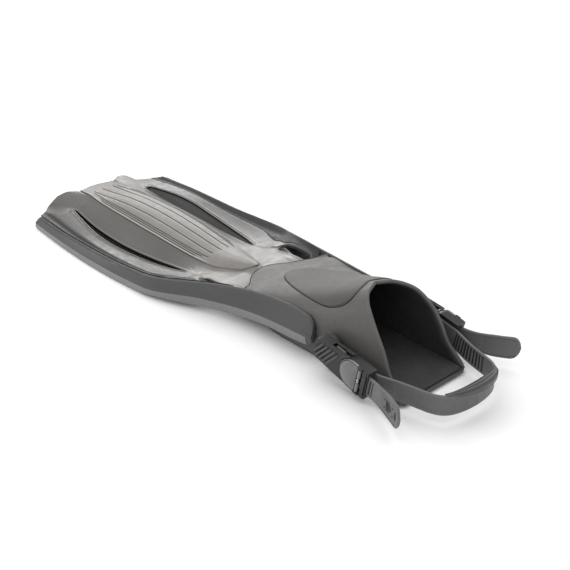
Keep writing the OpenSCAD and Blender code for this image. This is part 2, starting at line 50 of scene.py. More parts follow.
# ---------------------------------------------------------------- camera
AZIMUTH, ELEVATION = math.radians(-41.93), math.radians(29.04)
DISTANCE, LENS_MM, SENSOR_MM, CLIP = 1.1835, 63.17, 36.0, (0.01, 50.0)
BACK = Vector((math.sin(AZIMUTH) * math.cos(ELEVATION), -math.cos(AZIMUTH) * math.cos(ELEVATION),
               math.sin(ELEVATION)))
TARGET = Vector((0.0, 228.43, 28.58)) * MM
camera = bpy.data.objects.new("camera", bpy.data.cameras.new("camera"))
camera.data.lens, camera.data.sensor_width = LENS_MM, SENSOR_MM
camera.data.clip_start, camera.data.clip_end = CLIP
camera.location = TARGET + BACK * DISTANCE
camera.rotation_euler = (-BACK).to_track_quat("-Z", "Y").to_euler()
scene.collection.objects.link(camera)
scene.camera = camera


# ---------------------------------------------------------------- curves and profiles
def lerp(a, b, t):
    return a + (b - a) * t


def hermite(p0, m0, p1, m1, t):
    """The cubic from p0 to p1 that leaves with slope m0 and arrives with slope m1."""
    return ((2 * t**3 - 3 * t**2 + 1) * p0 + (t**3 - 2 * t**2 + t) * m0
            + (3 * t**2 - 2 * t**3) * p1 + (t**3 - t**2) * m1)


def hump(d, centre, width):
    """1 at the centre, falling smoothly to nothing."""
    return np.exp(-((d - centre) / width) ** 2)


def ease(v, a, b):
    """0 before a, 1 after b, smooth between."""
    t = np.clip((v - a) / (b - a), 0, 1)
    return t * t * (3 - 2 * t)


def dome(d, r, least=0.0):
    """A quarter circle's rise: from 0 at an edge to 1 at a distance r inside it."""
    return np.sqrt(np.clip(1 - (1 - np.clip(d / r, 0, 1)) ** 2, least, 1))


def relaxed(grid, times, axis=0):
    """A grid with its creases smoothed out. Its ends stay."""
    g = np.moveaxis(grid.copy(), axis, 0)
    for _ in range(times):
        g[1:-1] = 0.5 * g[1:-1] + 0.25 * (g[:-2] + g[2:])
    return np.moveaxis(g, 0, axis)


def stations(*groups):
    """The stations of several groups in order, without repeats."""
    return np.unique(np.round(np.concatenate(groups), 4))


def lengths(path):
    """How far along a path each of its points is."""
    return np.concatenate([[0], np.cumsum(np.linalg.norm(np.diff(path, axis=0), axis=1))])


def neighbours(count):
    """For each of count points, the one before and the one after it, or itself at an end."""
    n = np.arange(count)
    return np.maximum(n - 1, 0), np.minimum(n + 1, count - 1)


class Line:
    """A smooth line through given points, as [station, values...]."""

    def __init__(self, *points):
        self.p = p = np.array(points, float)
        a, b = neighbours(len(p))
        apart = p[b, 0] - p[a, 0]
        self.m = (p[b] - p[a]) / np.where(apart == 0, 1, apart)[:, None]
        self.n = (p[b] - p[a]) / (b - a)[:, None]

    def mix(self, i, t, h, m):
        return hermite(self.p[i], m[i] * h, self.p[i + 1], m[i + 1] * h, t[..., None])

    def at(self, s):
        """The values at each station."""
        s = np.asarray(s, float)
        i = np.clip(np.searchsorted(self.p[:, 0], s, side="right") - 1, 0, len(self.p) - 2)
        h = self.p[i + 1, 0] - self.p[i, 0]
        return self.mix(i, np.clip((s - self.p[i, 0]) / h, 0, 1), h[..., None], self.m)[..., 1:]

    def along(self, u):
        """The point [x, y, z] at each share u of the way along a line of [y, x, z]."""
        u = np.asarray(u, float) * (len(self.p) - 1)
        i = np.clip(u.astype(int), 0, len(self.p) - 2)
        return self.mix(i, u - i, 1.0, self.n)[..., [1, 0, 2]]


# ---------------------------------------------------------------- the fin's lines, in millimetres
# They hold the same points as the part's source, with two touches from the photo: the wave of the blade's
# tip is up to 4 mm shallower, and the instep panel reaches a little further down near the mouth.
# Most hold [y, x, z]. ridge and pocket_roof hold [y, z] on the centre plane, and panel_edge holds
# [y, share of the way up to the centre line]. TIP holds [x, y, z], one for each of the blade's controls.
ridge = Line([240, 28], [255, 31], [270, 35], [282, 36], [300, 35], [330, 32], [352, 30.5], [370, 31.2], [390, 33],
             [410, 34.6], [430, 36.1], [450, 37.3], [470, 37.9], [490, 38.1], [510, 37.6], [530, 36.7], [550, 34.9],
             [570, 32.1], [590, 29.2], [606, 27])
leaf_edge = Line([240, 4, 28], [268, 4, 34.5], [277, 6, 34.6], [284, 10.5, 32], [294, 14.8, 28.6], [306, 19, 25.9],
                 [330, 27, 23.5], [363, 31.5, 24], [400, 34, 26], [437, 35.5, 28], [480, 36, 29], [573, 33, 28.5],
                 [606, 29.5, 28.5])
slot_inner = Line([240, 54, 32], [262, 56.5, 32], [286, 57, 29.5], [304, 56, 27], [321, 54, 23], [340, 53, 18.5],
                  [352, 53, 16.5], [385, 55.5, 13], [414, 58, 10.5], [444, 60.5, 9], [474, 62.5, 8.4],
                  [506, 63, 8.5], [540, 62.5, 9.7], [573, 60.5, 12.3], [606, 57.5, 16.5])
slot_outer = Line([240, 62, 35], [270, 68, 35], [297, 68.5, 32], [318, 61, 27], [326, 57, 24], [340, 54.5, 19.5],
                  [352, 55.5, 17.5], [376, 62, 15], [402, 67, 13.5], [429, 71, 13], [456, 74.5, 13],
                  [484, 77, 14], [514, 77.5, 16.4], [548, 73.5, 18.5], [591, 64.3, 18.5], [606, 60.5, 17.5])
rail_top = Line([109, 55, 53], [150, 54.5, 55], [187, 58, 54], [221, 64, 51], [254, 72, 46], [287, 82, 40],
                [321, 92.5, 33], [358, 102, 27], [403, 105, 22.5], [451, 106, 19], [501, 107, 17.5],
                [554, 107, 16.5], [618, 103.5, 15.5])
rail_side = Line([109, 60, 27], [132, 65, 31], [210, 70, 27], [281, 87, 21], [347, 110, 13], [403, 115.5, 10],
                 [450, 117.5, 9], [500, 118.5, 8.5], [560, 117, 8], [618, 113, 7])
rail_foot = Line([109, 60, 20], [150, 63, 17.5], [187, 65.6, 17], [221, 70, 14.3], [254, 77, 11.3],
                 [287, 86, 7.5], [304, 91.8, 5.7], [321, 98.6, 4.6], [340, 105.6, 4], [358, 110.5, 2.8],
                 [375, 112.5, 1], [390, 113.7, 0], [430, 117.3, 0], [480, 119, 0], [540, 118, 0], [618, 113.4, 0])
TIP = np.array([[0, 646, 23], [10, 644.5, 23.4], [20, 640, 24.3], [27, 638.5, 24.8], [32, 639.5, 24.9],
                [44, 647.5, 24.7], [58, 651, 20.8], [69, 650.5, 14], [76, 649, 9.5], [91, 629, 13.5],
                [103.5, 618, 15.5]], float)
PANEL, BLADE = 1.6, 3.2  # thickness of the leaf and of the blade
TIP_ROW, TIP_LEAD = 606.0, 8.0  # the tip's own curve starts here, in the direction of the last 8 mm
VENT, SLOT = (250.0, 307.0), (352.0, 598.0)
VENT_ROUND, SLOT_ROUND, BETWEEN = 7.0, 6.0, 339.0
PINCH_RUN, PINCHED = 14.0, 0.18
mouth = Line([-5, 50.5, 5], [6, 49.5, 16], [18, 47.7, 28.5], [28, 46, 47.5], [40, 44.3, 64.5], [55, 38.8, 79.3],
             [67, 31, 86], [78, 19, 90], [86, 0, 92])
nose = Line([222, 54, 18], [222, 60, 30], [223, 64, 42], [225, 64.5, 50], [234, 51, 44.5], [244, 40, 41.5],
            [256, 30, 37], [266, 16, 36], [270, 0, 36.5])
pocket_side = Line([112, 53.5, 45], [130, 54, 48], [150, 54.5, 50], [187, 58, 52], [210, 62, 51.5])
pocket_foot = Line([112, 50.5, 4], [150, 51.5, 4.5], [187, 53.5, 8], [210, 55, 14])
pocket_roof = Line([86, 92], [112, 81.5], [130, 73], [150, 66], [170, 60], [187, 56], [210, 52])
panel_edge = Line([94, 0.94], [96, 0.83], [100, 0.725], [105, 0.68], [112, 0.665], [130, 0.683], [150, 0.72],
                  [165, 0.757], [180, 0.8], [193, 0.84], [205, 0.88], [214, 0.92], [219, 0.955], [222, 0.985])
strap_back = Line([20, 62.4, 23.6], [8, 58, 23], [-6, 53.5, 22.5], [-20, 50, 22.1], [-32, 47.3, 22], [-42, 44, 22],
                  [-50, 38, 22], [-55.5, 28, 22], [-58.5, 14, 22], [-59.5, 0, 22])
tail_line = Line([-41, 96, 27], [-31, 90.3, 25.5], [-17, 83.5, 24.2], [-2, 77.8, 23.5], [11, 74, 23.4],
                 [20, 72.3, 23.6])
MOUTH_S, SECTION_S, NOSE_S, SIDE_SHARE = 86.0, (112.0, 210.0), 270.0, 0.45
BUCKLE = np.array([63.0, 90.0, 37.0])
TILT = math.radians(11)
FLIP = np.array([-1.0, 1.0, 1.0])
SIDES = ((True, "left"), (False, "right"))
RIDGE_KNOTS, SHELF_KNOTS = [0, 0.4, 0.75, 1], [0, 0.35, 0.7, 1]


# ---------------------------------------------------------------- grids of points
def pinch(v, ends, r):
    """How far an opening is narrowed near its two ends."""
    k = np.ones_like(v)
    for end, way in ((ends[0], 1), (ends[1], -1)):
        d = (v - end) * way
        beyond = np.clip(-d / PINCH_RUN, 0, 1) ** 2
        k = np.minimum(k, np.maximum(np.where(d >= 0, dome(d, r), beyond), PINCHED))
    return k


def controls(v):
    """The blade's right half at each station: eleven points from the ridge to the rail."""
    v = np.asarray(v, float)

    def rows(y):
        c = ridge.at(y)[:, 0] - PANEL
        l, si, so, r = leaf_edge.at(y), slot_inner.at(y), slot_outer.at(y), rail_top.at(y)
        k = np.where(y < BETWEEN, pinch(y, VENT, VENT_ROUND), pinch(y, SLOT, SLOT_ROUND))[:, None]
        mid, half = (si + so) / 2, (so - si) / 2
        si, so = mid - half * k, mid + half * k
        e = l[:, 1] - PANEL
        xz = [(0 * y, c), (l[:, 0] * 0.4, lerp(c, e, 0.16)), (l[:, 0] * 0.75, lerp(c, e, 0.56)), (l[:, 0], e),
              (l[:, 0] + 3, e - 1.5), (lerp(l[:, 0] + 3, si[:, 0], 0.5), lerp(e - 1.5, si[:, 1], 0.48)),
              (si[:, 0], si[:, 1]), (so[:, 0], so[:, 1]),
              (lerp(so[:, 0], r[:, 0], 0.35), lerp(so[:, 1], r[:, 1], 0.16)),
              (lerp(so[:, 0], r[:, 0], 0.7), lerp(so[:, 1], r[:, 1], 0.5)), (r[:, 0], r[:, 1])]
        return np.stack([np.stack([x, y, z], -1) for x, z in xz], 1)

    body = rows(np.minimum(v, TIP_ROW))
    tip = TIP.copy()
    tip[:4, 2] -= PANEL
    base, before = rows(np.array([TIP_ROW])), rows(np.array([TIP_ROW - TIP_LEAD]))
    reach = tip - base[0]
    lead = 0.5 * ((base[0] - before[0]) / TIP_LEAD * reach[:, 1:2] + reach)
    t = np.clip(v - TIP_ROW, 0, 1)[:, None, None]
    return np.where(v[:, None, None] <= TIP_ROW, body, hermite(base, lead[None], tip[None], reach[None], t))


def across(points, knots, f):
    """Points at the shares f of the way across control points, which lie at the shares in knots."""
    k = np.array(knots, float)
    a, b = neighbours(len(k))
    m = (points[:, b] - points[:, a]) / (k[b] - k[a])[None, :, None]
    i = np.clip(np.searchsorted(k, f, side="right") - 1, 0, len(k) - 2)
    h = (k[i + 1] - k[i])[None, :, None]
    t = ((f - k[i]) / (k[i + 1] - k[i]))[None, :, None]
    return hermite(points[:, i], m[:, i] * h, points[:, i + 1], m[:, i + 1] * h, t)


def mirrored(points, left):
    """Points of the right side, put on the left side if left is true."""
    p = np.array(points, float)
    p[..., 0] *= -1 if left else 1
    return p


def whole(half):
    """Rows of right-half points, from the centre out, made into whole rows from left to right."""
    return np.concatenate([mirrored(half, True)[:, :0:-1], half], 1)


def painted(grid, shade):
    """A grid with a fourth value at each point: 1 where shade is painted dark, -1 where a highlight is painted
    light.
    """
    return np.concatenate([grid, (shade + 0 * grid[..., 0])[..., None]], -1)


def normals(grid):
    """Unit normals of a grid, rows along +Y and columns along +X."""
    n = np.cross(np.gradient(grid, axis=1), np.gradient(grid, axis=0))
    return n / np.maximum(np.linalg.norm(n, axis=-1, keepdims=True), 1e-9)


def edge_distance(grid, line):
    """How far each grid point is from a line of points, seen from above."""
    q = grid[..., :2].reshape(-1, 1, 2)
    return np.sqrt(((q - line[None, :, :2]) ** 2).sum(-1).min(1)).reshape(grid.shape[:2])

def on_buckle(points, left):
    """Points of the right buckle's own frame, put in place on either side."""
    p = np.asarray(points, float)
    x, y, h = p[..., 0], p[..., 1], p[..., 2]
    q = np.stack([BUCKLE[0] + x, BUCKLE[1] + y * math.cos(TILT) - h * math.sin(TILT),
                  BUCKLE[2] + y * math.sin(TILT) + h * math.cos(TILT)], -1)
    return mirrored(q, left)


# ---------------------------------------------------------------- meshes
def piece(name, points, faces, body, material, slot, replaces=None, bevel=0.0, angle=50):
    """A named piece that rides on a body, from points in millimetres."""
    mesh = bpy.data.meshes.new(name)
    points = np.asarray(points, float)
    mesh.from_pydata((points[:, :3] * MM).tolist(), [], faces)
    if points.shape[1] == 4:
        shade = mesh.attributes.new("shade", "FLOAT", "POINT")
        shade.data.foreach_set("value", points[:, 3].astype(np.float32))
    bm = bmesh.new()
    bm.from_mesh(mesh)
    bmesh.ops.remove_doubles(bm, verts=bm.verts, dist=1e-6)
    bmesh.ops.recalc_face_normals(bm, faces=bm.faces)
    for f in bm.faces:
        f.smooth = True
    bm.to_mesh(mesh)
    bm.free()
    mesh.materials.append(material)
    obj = bpy.data.objects.new(name, mesh)
    scene.collection.objects.link(obj)
    if bevel:
        soften(obj, bevel, angle)
    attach(obj, body)
    if replaces:
        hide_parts(replaces)


def soften(obj, width, angle, clamp=False):
    """Rounds an object's sharp edges."""
    mod = obj.modifiers.new("edges", "BEVEL")
    mod.width, mod.segments = width * MM, 2
    mod.limit_method, mod.angle_limit = "ANGLE", math.radians(angle)
    mod.use_clamp_overlap = clamp
    mod.harden_normals = False
    mod = obj.modifiers.new("shading", "WEIGHTED_NORMAL")
    mod.keep_sharp = False


def sheet(top, bottom, hole=None):
    """A closed solid between two grids of points, without the cells marked as holes."""
    rows, cols = top.shape[:2]
    filled = np.ones((rows - 1, cols - 1), bool) if hole is None else ~hole
    ids = np.arange(rows * cols).reshape(rows, cols)
    n = rows * cols
    around = np.pad(filled, 1)
    i, j = np.nonzero(filled)
    a, b, c, d = ids[i, j], ids[i, j + 1], ids[i + 1, j + 1], ids[i + 1, j]
    quads = [np.stack([a, b, c, d], 1), np.stack([a, d, c, b], 1) + n]
    for di, dj, p, q in ((0, 1, b, a), (2, 1, d, c), (1, 0, a, d), (1, 2, c, b)):
        k = ~around[i + di, j + dj]
        quads.append(np.stack([p[k], q[k], q[k] + n, p[k] + n], 1))
    quads = np.concatenate(quads)
    used, faces = np.unique(quads, return_inverse=True)
    points = np.concatenate([top.reshape(-1, top.shape[-1]), bottom.reshape(-1, top.shape[-1])])
    return points[used], faces.reshape(quads.shape).tolist()


def loft(rings):
    """A closed bar through rings of points."""
    rings = np.asarray(rings, float)
    r, n = rings.shape[:2]
    i, j = np.meshgrid(np.arange(r - 1), np.arange(n), indexing="ij")
    a, b = (i * n + j).ravel(), (i * n + (j + 1) % n).ravel()
    faces = np.stack([a, b, b + n, a + n], 1).tolist()
    caps = [list(range(n))[::-1], list(range((r - 1) * n, r * n))]
    return rings.reshape(-1, rings.shape[-1]), faces + caps


def tube(path, radius, n, flat=1.0, ends=True):
    """A closed bar along a path, n-sided. Its ends are rounded, unless ends is false."""
    path = np.asarray(path, float)
    ahead = np.gradient(path, axis=0)
    ahead /= np.linalg.norm(ahead, axis=1, keepdims=True)
    side = np.cross(ahead[0], [0.3, 0.2, 1.0])
    w = np.linspace(0, 2 * np.pi, n, endpoint=False)[:, None]
    rings, run = [], lengths(path)
    for k, p in enumerate(path):
        side = side - ahead[k] * (side @ ahead[k])
        side /= np.linalg.norm(side)
        up = np.cross(ahead[k], side)
        r = radius * dome(min(run[k], run[-1] - run[k]) if ends else radius, radius, 0.05)
        rings.append(p + r * (np.cos(w) * side + flat * np.sin(w) * up))
    return loft(rings)


# ---------------------------------------------------------------- materials
class Nodes:
    """A small helper for building one node material."""

    def __init__(self, name):
        self.material = bpy.data.materials.new(name)
        self.material.use_nodes = True
        self.tree = self.material.node_tree
        self.shader = self.tree.nodes["Principled BSDF"]
        self.place = self.add("ShaderNodeTexCoord").outputs["Object"]

    def add(self, kind, **values):
        node = self.tree.nodes.new(kind)
        for key, value in values.items():
            setattr(node, key, value)
        return node

    def link(self, a, b):
        self.tree.links.new(a, b)

    def stretched(self, scale):
        node = self.add("ShaderNodeMapping")
        node.inputs["Scale"].default_value = scale
        self.link(self.place, node.inputs["Vector"])
        return node.outputs["Vector"]

    def noise(self, scale, detail, rough=0.55, vector=None):
        node = self.add("ShaderNodeTexNoise")
        node.inputs["Scale"].default_value = scale
        node.inputs["Detail"].default_value = detail
        node.inputs["Roughness"].default_value = rough
        self.link(vector or self.place, node.inputs["Vector"])
        return node.outputs["Fac"]

    def cells(self, scale):
        node = self.add("ShaderNodeTexVoronoi", feature="SMOOTH_F1")
        node.inputs["Scale"].default_value = scale
        self.link(self.place, node.inputs["Vector"])
        return node.outputs["Distance"]

    def remap(self, value, a, b, c, d):
        node = self.add("ShaderNodeMapRange")
        for key, v in zip(("From Min", "From Max", "To Min", "To Max"), (a, b, c, d)):
            node.inputs[key].default_value = v
        self.link(value, node.inputs["Value"])
        return node.outputs["Result"]

    def blend(self, factor, a, b):
        node = self.add("ShaderNodeMix", data_type="RGBA")
        self.link(factor, node.inputs["Factor"])
        for socket, value in ((node.inputs[6], a), (node.inputs[7], b)):
            if isinstance(value, tuple):
                socket.default_value = value
            else:
                self.link(value, socket)
        return node.outputs[2]

    def sums(self, a, b, share):
        node = self.add("ShaderNodeMath", operation="MULTIPLY_ADD")
        self.link(b, node.inputs[0])
        node.inputs[1].default_value = share
        self.link(a, node.inputs[2])
        return node.outputs[0]


CLOUD, WEAR_AND_HIGHLIGHT_PATCH = 38.0, 140.0  # noise scales of the colour drift and of the patchy edge wear and painted edge highlight
SATURATED = 0.85


def moulded(name, grey, rough, warm=0.0, mottle=0.12, grain=1600.0, height=0.05, edge_wear_and_highlight=0.35, spread=0.08,
            pebble=0.0, coat=0.0, specular=0.35, metallic=0.0, streaks=None, crease_shade=0.8, edge=None, paint=False):
    """Moulded rubber, plastic or drawn metal: colour drift, fine grain and uneven gloss, with edges lightened as
    wear and painted highlight, creases darkened as painted shade, and, where paint is set, each piece's own painted
    shade and highlights.
    """
    n = Nodes(name)
    drift = n.noise(CLOUD, 5, 0.6, n.stretched(streaks) if streaks else None)
    speck = n.noise(grain * 0.35, 2)
    base = n.blend(n.remap(drift, 0.3, 0.7, 0, 1), rgb(grey * (1 - mottle), warm), rgb(grey * (1 + mottle), warm))
    base = n.blend(n.remap(speck, 0.45, 0.75, 0, 0.25), base, rgb(min(grey * 1.5 + 0.01, 0.9), warm))
    shape = n.add("ShaderNodeNewGeometry").outputs["Pointiness"]
    # edges lightened by pointiness: partly real edge wear, partly painted highlight
    wear_and_highlight_mask = n.add("ShaderNodeMath", operation="MULTIPLY")
    n.link(n.remap(shape, 0.515, 0.58, 0, edge_wear_and_highlight), wear_and_highlight_mask.inputs[0])
    n.link(n.remap(n.noise(WEAR_AND_HIGHLIGHT_PATCH, 3), 0.35, 0.65, 0.35, 1), wear_and_highlight_mask.inputs[1])
    # the colour of lightened edges and of painted highlights
    light = rgb(edge or min(grey * 2.2 + 0.03, SATURATED), warm)
    base = n.blend(wear_and_highlight_mask.outputs[0], base, light)
    # painted shade: concave creases are darkened
    base = n.blend(n.remap(shape, 0.49, 0.44, 0, crease_shade), base, rgb(grey * 0.2, warm))
    # painted light and shade: the pieces' shade values darken where shade is painted and lighten where a highlight
    # is painted
    if paint:
        shade_and_highlight = n.add("ShaderNodeAttribute", attribute_name="shade").outputs["Fac"]
        base = n.blend(n.remap(shade_and_highlight, 0, -1, 0, 1), base, light)
        base = n.blend(n.remap(shade_and_highlight, 0, 1, 0, 1), base, rgb(grey * 0.08, warm))
    n.link(base, n.shader.inputs["Base Color"])
    gloss = n.remap(n.noise(CLOUD * 3, 4), 0.3, 0.7, rough - spread, rough + spread)
    n.link(gloss, n.shader.inputs["Roughness"])
    relief = n.sums(n.noise(grain, 2), n.noise(grain * 0.2, 3), 0.6)
    if pebble:
        relief = n.sums(relief, n.cells(pebble), 2.5)
    bump = n.add("ShaderNodeBump")
    bump.inputs["Strength"].default_value = 1.0
    bump.inputs["Distance"].default_value = height * MM
    n.link(relief, bump.inputs["Height"])
    n.link(bump.outputs["Normal"], n.shader.inputs["Normal"])
    n.shader.inputs["Specular IOR Level"].default_value = specular
    n.shader.inputs["Metallic"].default_value = metallic
    n.shader.inputs["Coat Weight"].default_value = coat
    n.shader.inputs["Coat Roughness"].default_value = 0.18
    return n.material


LONG = (1.0, 0.22, 1.0)
LOOKS = {
    "blade_plastic": dict(grey=0.095, rough=0.36, warm=0.06, specular=0.34, mottle=0.06, height=0.03,
                          streaks=LONG, edge_wear_and_highlight=0.0, crease_shade=0.0, paint=True),
    "leaf_rubber": dict(grey=0.175, rough=0.46, warm=0.06, specular=0.4, mottle=0.07, grain=2200,
                        edge_wear_and_highlight=0.0, crease_shade=0.0, paint=True),
    "rail_rubber": dict(grey=0.060, rough=0.40, mottle=0.10, streaks=LONG, height=0.04),
    # the rail's band: the rail's rubber, painted lighter as a reflection of the white floor
    "band_floor_lit_rubber": dict(grey=0.17, rough=0.46, mottle=0.07, streaks=LONG, edge_wear_and_highlight=0.25),
    # the flange: the rail's rubber, painted darker as shade
    "flange_shaded_rubber": dict(grey=0.04, rough=0.5, mottle=0.10, streaks=LONG, specular=0.2, edge_wear_and_highlight=0.25),
    "membrane_rubber": dict(grey=0.065, rough=0.5, mottle=0.15, edge_wear_and_highlight=0.1, paint=True, specular=0.15),
    "pocket_rubber": dict(grey=0.094, rough=0.48, warm=0.05, specular=0.18, mottle=0.07, edge_wear_and_highlight=0.3),
    "lining_rubber": dict(grey=0.035, rough=0.7, mottle=0.2, grain=900, height=0.1, edge_wear_and_highlight=0.0),
    "instep_rubber": dict(grey=0.066, rough=0.5, warm=0.05, specular=0.18, mottle=0.05, edge_wear_and_highlight=0.2, spread=0.03),
    # near-black, for tubes that stand in for the shade in gaps: painted shadow lines
    "shadow_line_rubber": dict(grey=0.008, rough=0.6, mottle=0.2, edge_wear_and_highlight=0.0, specular=0.15),
    "chassis_plastic": dict(grey=0.05, rough=0.42, mottle=0.10),
    "footbed_rubber": dict(grey=0.030, rough=0.6, mottle=0.25, pebble=420, height=0.16, edge_wear_and_highlight=0.1),
    "tread_rubber": dict(grey=0.04, rough=0.6, mottle=0.15, height=0.08, edge_wear_and_highlight=0.25),
    "post_plastic": dict(grey=0.04, rough=0.4, mottle=0.1, edge_wear_and_highlight=0.3),
    "buckle_plastic": dict(grey=0.016, rough=0.33, height=0.01, edge_wear_and_highlight=0.15, edge=0.12, specular=0.3, crease_shade=1.0,
                           paint=True),
    # the lever's grey is set lighter than the buckle's, partly as a painted highlight, and its edges are lightened
    # strongly
    "lever_plastic": dict(grey=0.11, rough=0.2, mottle=0.2, height=0.01, edge_wear_and_highlight=0.6, edge=0.3, coat=0.6),
    "button_plastic": dict(grey=0.03, rough=0.3, height=0.03, edge_wear_and_highlight=0.3, coat=0.3),
    "strap_rubber": dict(grey=0.12, rough=0.42, mottle=0.10, edge_wear_and_highlight=0.4, paint=True),
    "tab_rubber": dict(grey=0.065, rough=0.42, mottle=0.10, edge_wear_and_highlight=0.4),
    "pin_steel": dict(grey=0.5, rough=0.28, mottle=0.06, height=0.01, edge_wear_and_highlight=0.1, metallic=1.0),
    "spring_steel": dict(grey=0.45, rough=0.25, mottle=0.06, height=0.01, edge_wear_and_highlight=0.1, metallic=1.0),
}
MAT = {name: moulded(name, **look) for name, look in LOOKS.items()}


# ---------------------------------------------------------------- blade
def blurred(x_row, from_x, from_z, radius):
    """The heights along a row, averaged over the points that lie within about a radius."""
    weight = np.gradient(from_x).clip(0.02)[None, :]
    near = np.exp(-((x_row[:, None] - from_x[None, :]) / radius) ** 2) * weight
    return (near @ from_z) / near.sum(1)


FINE, TIP_STEPS = 1.2, TIP_ROW + np.linspace(0, 1, 19)
v_rows = stations(np.arange(240, TIP_ROW + 0.1, 3.0), np.arange(246, 258, FINE), np.arange(318, 332, FINE),
                  np.arange(346, 362, FINE), np.arange(588, TIP_ROW, FINE), TIP_STEPS)
ctrl = controls(v_rows)
soft_near = np.linspace(0, 1, 38) ** 1.5
parts = [
    across(ctrl[:, :4], RIDGE_KNOTS, np.linspace(0, 1, 9))[:, :-1],
    across(ctrl[:, 3:5], [0, 1], np.linspace(0, 1, 5))[:, :-1],
    across(ctrl[:, 4:7], [0, 0.5, 1], 1 - (np.linspace(0, 1, 26) ** 1.25)[::-1])[:, :-1],
    across(ctrl[:, 6:8], [0, 1], np.linspace(0, 1, 5))[:, :-1],
    across(ctrl[:, 7:], SHELF_KNOTS, soft_near),
]
half = np.concatenate(parts, 1)
first_slot = sum(p.shape[1] for p in parts[:3])
last_slot = first_slot + parts[3].shape[1]
outlines = []
in_open = np.zeros(len(v_rows) - 1, bool)
for ends in (VENT, SLOT):
    c = controls(np.arange(ends[0], ends[1] + 0.1, 1.0))
    outlines.append(np.concatenate([c[:, 6], c[:, 7]]))
    in_open |= (v_rows[:-1] >= ends[0]) & (v_rows[1:] <= ends[1])
d_vent, d_slot = (edge_distance(half, outline) for outline in outlines)
shut = np.minimum.reduce([np.where(v_rows < e[0], e[0] - v_rows, np.maximum(v_rows - e[1], 0))
                          for e in (VENT, SLOT)])

# where the openings are shut, the surface runs smoothly over them
for i in np.nonzero(shut > 0)[0]:
    x_row, z_row = half[i, :, 0], half[i, :, 2].copy()
    to_slot = x_row - x_row[first_slot:last_slot].mean()
    half[i, :, 2] += hump(to_slot, 0, 7.5) * ease(shut[i], 0, 9) * (blurred(x_row, x_row, z_row, 3.2) - z_row)
for i in np.nonzero(v_rows < 312)[0]:
    x_row, z_row, v = half[i, :, 0], half[i, :, 2].copy(), v_rows[i]
    both_x, both_z = np.concatenate([-x_row[:0:-1], x_row]), np.concatenate([z_row[:0:-1], z_row])
    to_slot = x_row - x_row[first_slot:last_slot].mean()
    share = ease(np.abs(to_slot), 8, 13) * ease(x_row[-1] - x_row, 2, 7) * (1 - ease(v, 296, 312))
    if v > 279:
        share = share * ease(x_row, leaf_edge.at(v)[0], leaf_edge.at(v)[0] + 4)
    half[i, :, 2] += share * (blurred(x_row, both_x, both_z, 5.0) - z_row)
calm = relaxed(half[..., 2], 40)
before_leaf = (1 - ease(v_rows, 272, 290))[:, None] * (np.arange(half.shape[1]) < first_slot - 8)[None, :]
half[..., 2] = lerp(half[..., 2], calm, before_leaf)
slot_foot = ease(v_rows, 296, 308) * (1 - ease(v_rows, 352, 380))
half[..., 2] = lerp(half[..., 2], calm, 0.9 * slot_foot[:, None])

# the blade steps down beside the rail's flange
STEP_IN = 2.8
side_share = np.concatenate([np.zeros(last_slot), soft_near])[None, :]
drop_in = ease(half[..., 1], 318, 350) * (1 - 0.8 * ease(v_rows, TIP_ROW + 0.2, TIP_ROW + 0.9)[:, None])
half[..., 2] -= STEP_IN * drop_in * ease(side_share, 0.62, 0.82)

# rims and moulded lines round the slots and the vents
cols = np.arange(half.shape[1])[None, :]
outside = (cols >= last_slot).astype(float)
y = half[..., 1]
lift = 0.75 * hump(d_slot, 1.3, 1.2) + (outside * ease(y, 340, 380)) * (0.35 * hump(d_slot, 4.2, 1.1))
lift -= (outside * 0.55 + (1 - outside) * 0.15 * ease(y, 560, 590)) * hump(d_slot, 2.9, 0.55)
lift -= 0.35 * hump(d_slot, 8.5, 0.9) * ease(y, 588, 600)
lift -= 0.35 * hump(d_slot, 9.0, 1.1) * ease(-y, -362, -350) * ease(y, 336, 342)
vent_rim = (0.8 + 1.3 * outside * (1 - ease(y, 296, 312))) * (1 - 0.7 * ease(y, 306, 318))
lift += vent_rim * hump(d_vent, 1.8, 1.6)
lift *= (cols < first_slot) | (cols >= last_slot)
half[..., 2] += lift
# painted shade and highlight on the blade: dark lines at the slots' edges, in the grooves outside them and in the
# groove near their tip ends, a darker shelf outside the slots and darker outer vent lips; a light line along the
# slots' lips and a light patch of glare over the blade's foot
shade_and_highlight = 0.85 * outside * hump(d_slot, 2.9, 0.55) + 0.35 * hump(d_slot, 8.5, 0.8) * ease(y, 588, 600)
shade_and_highlight += 0.2 * outside * ease(y, 384, 410) + hump(d_slot, 0.0, 0.45) - 0.6 * hump(d_slot, 1.5, 0.5)
shade_and_highlight -= 0.55 * (1 - ease(y, 312, 384)) * (1 - hump(d_vent, 0.0, 2.0))
shade_and_highlight = lerp(shade_and_highlight, 0.42, outside * (1 - ease(d_vent, 2.5, 5.5)) * (1 - ease(y, 300, 318)))
top = whole(painted(half, np.clip(shade_and_highlight, -1, 1)))
j = np.abs(np.arange(top.shape[1] - 1) + 0.5 - (half.shape[1] - 1))
hole = in_open[:, None] & ((j > first_slot) & (j < last_slot))[None, :]
under = top.copy()
under[..., 2] -= BLADE
piece("blade_shell", *sheet(top, under, hole), "fin", MAT["blade_plastic"], "blade_plastic", "blade", bevel=0.55)

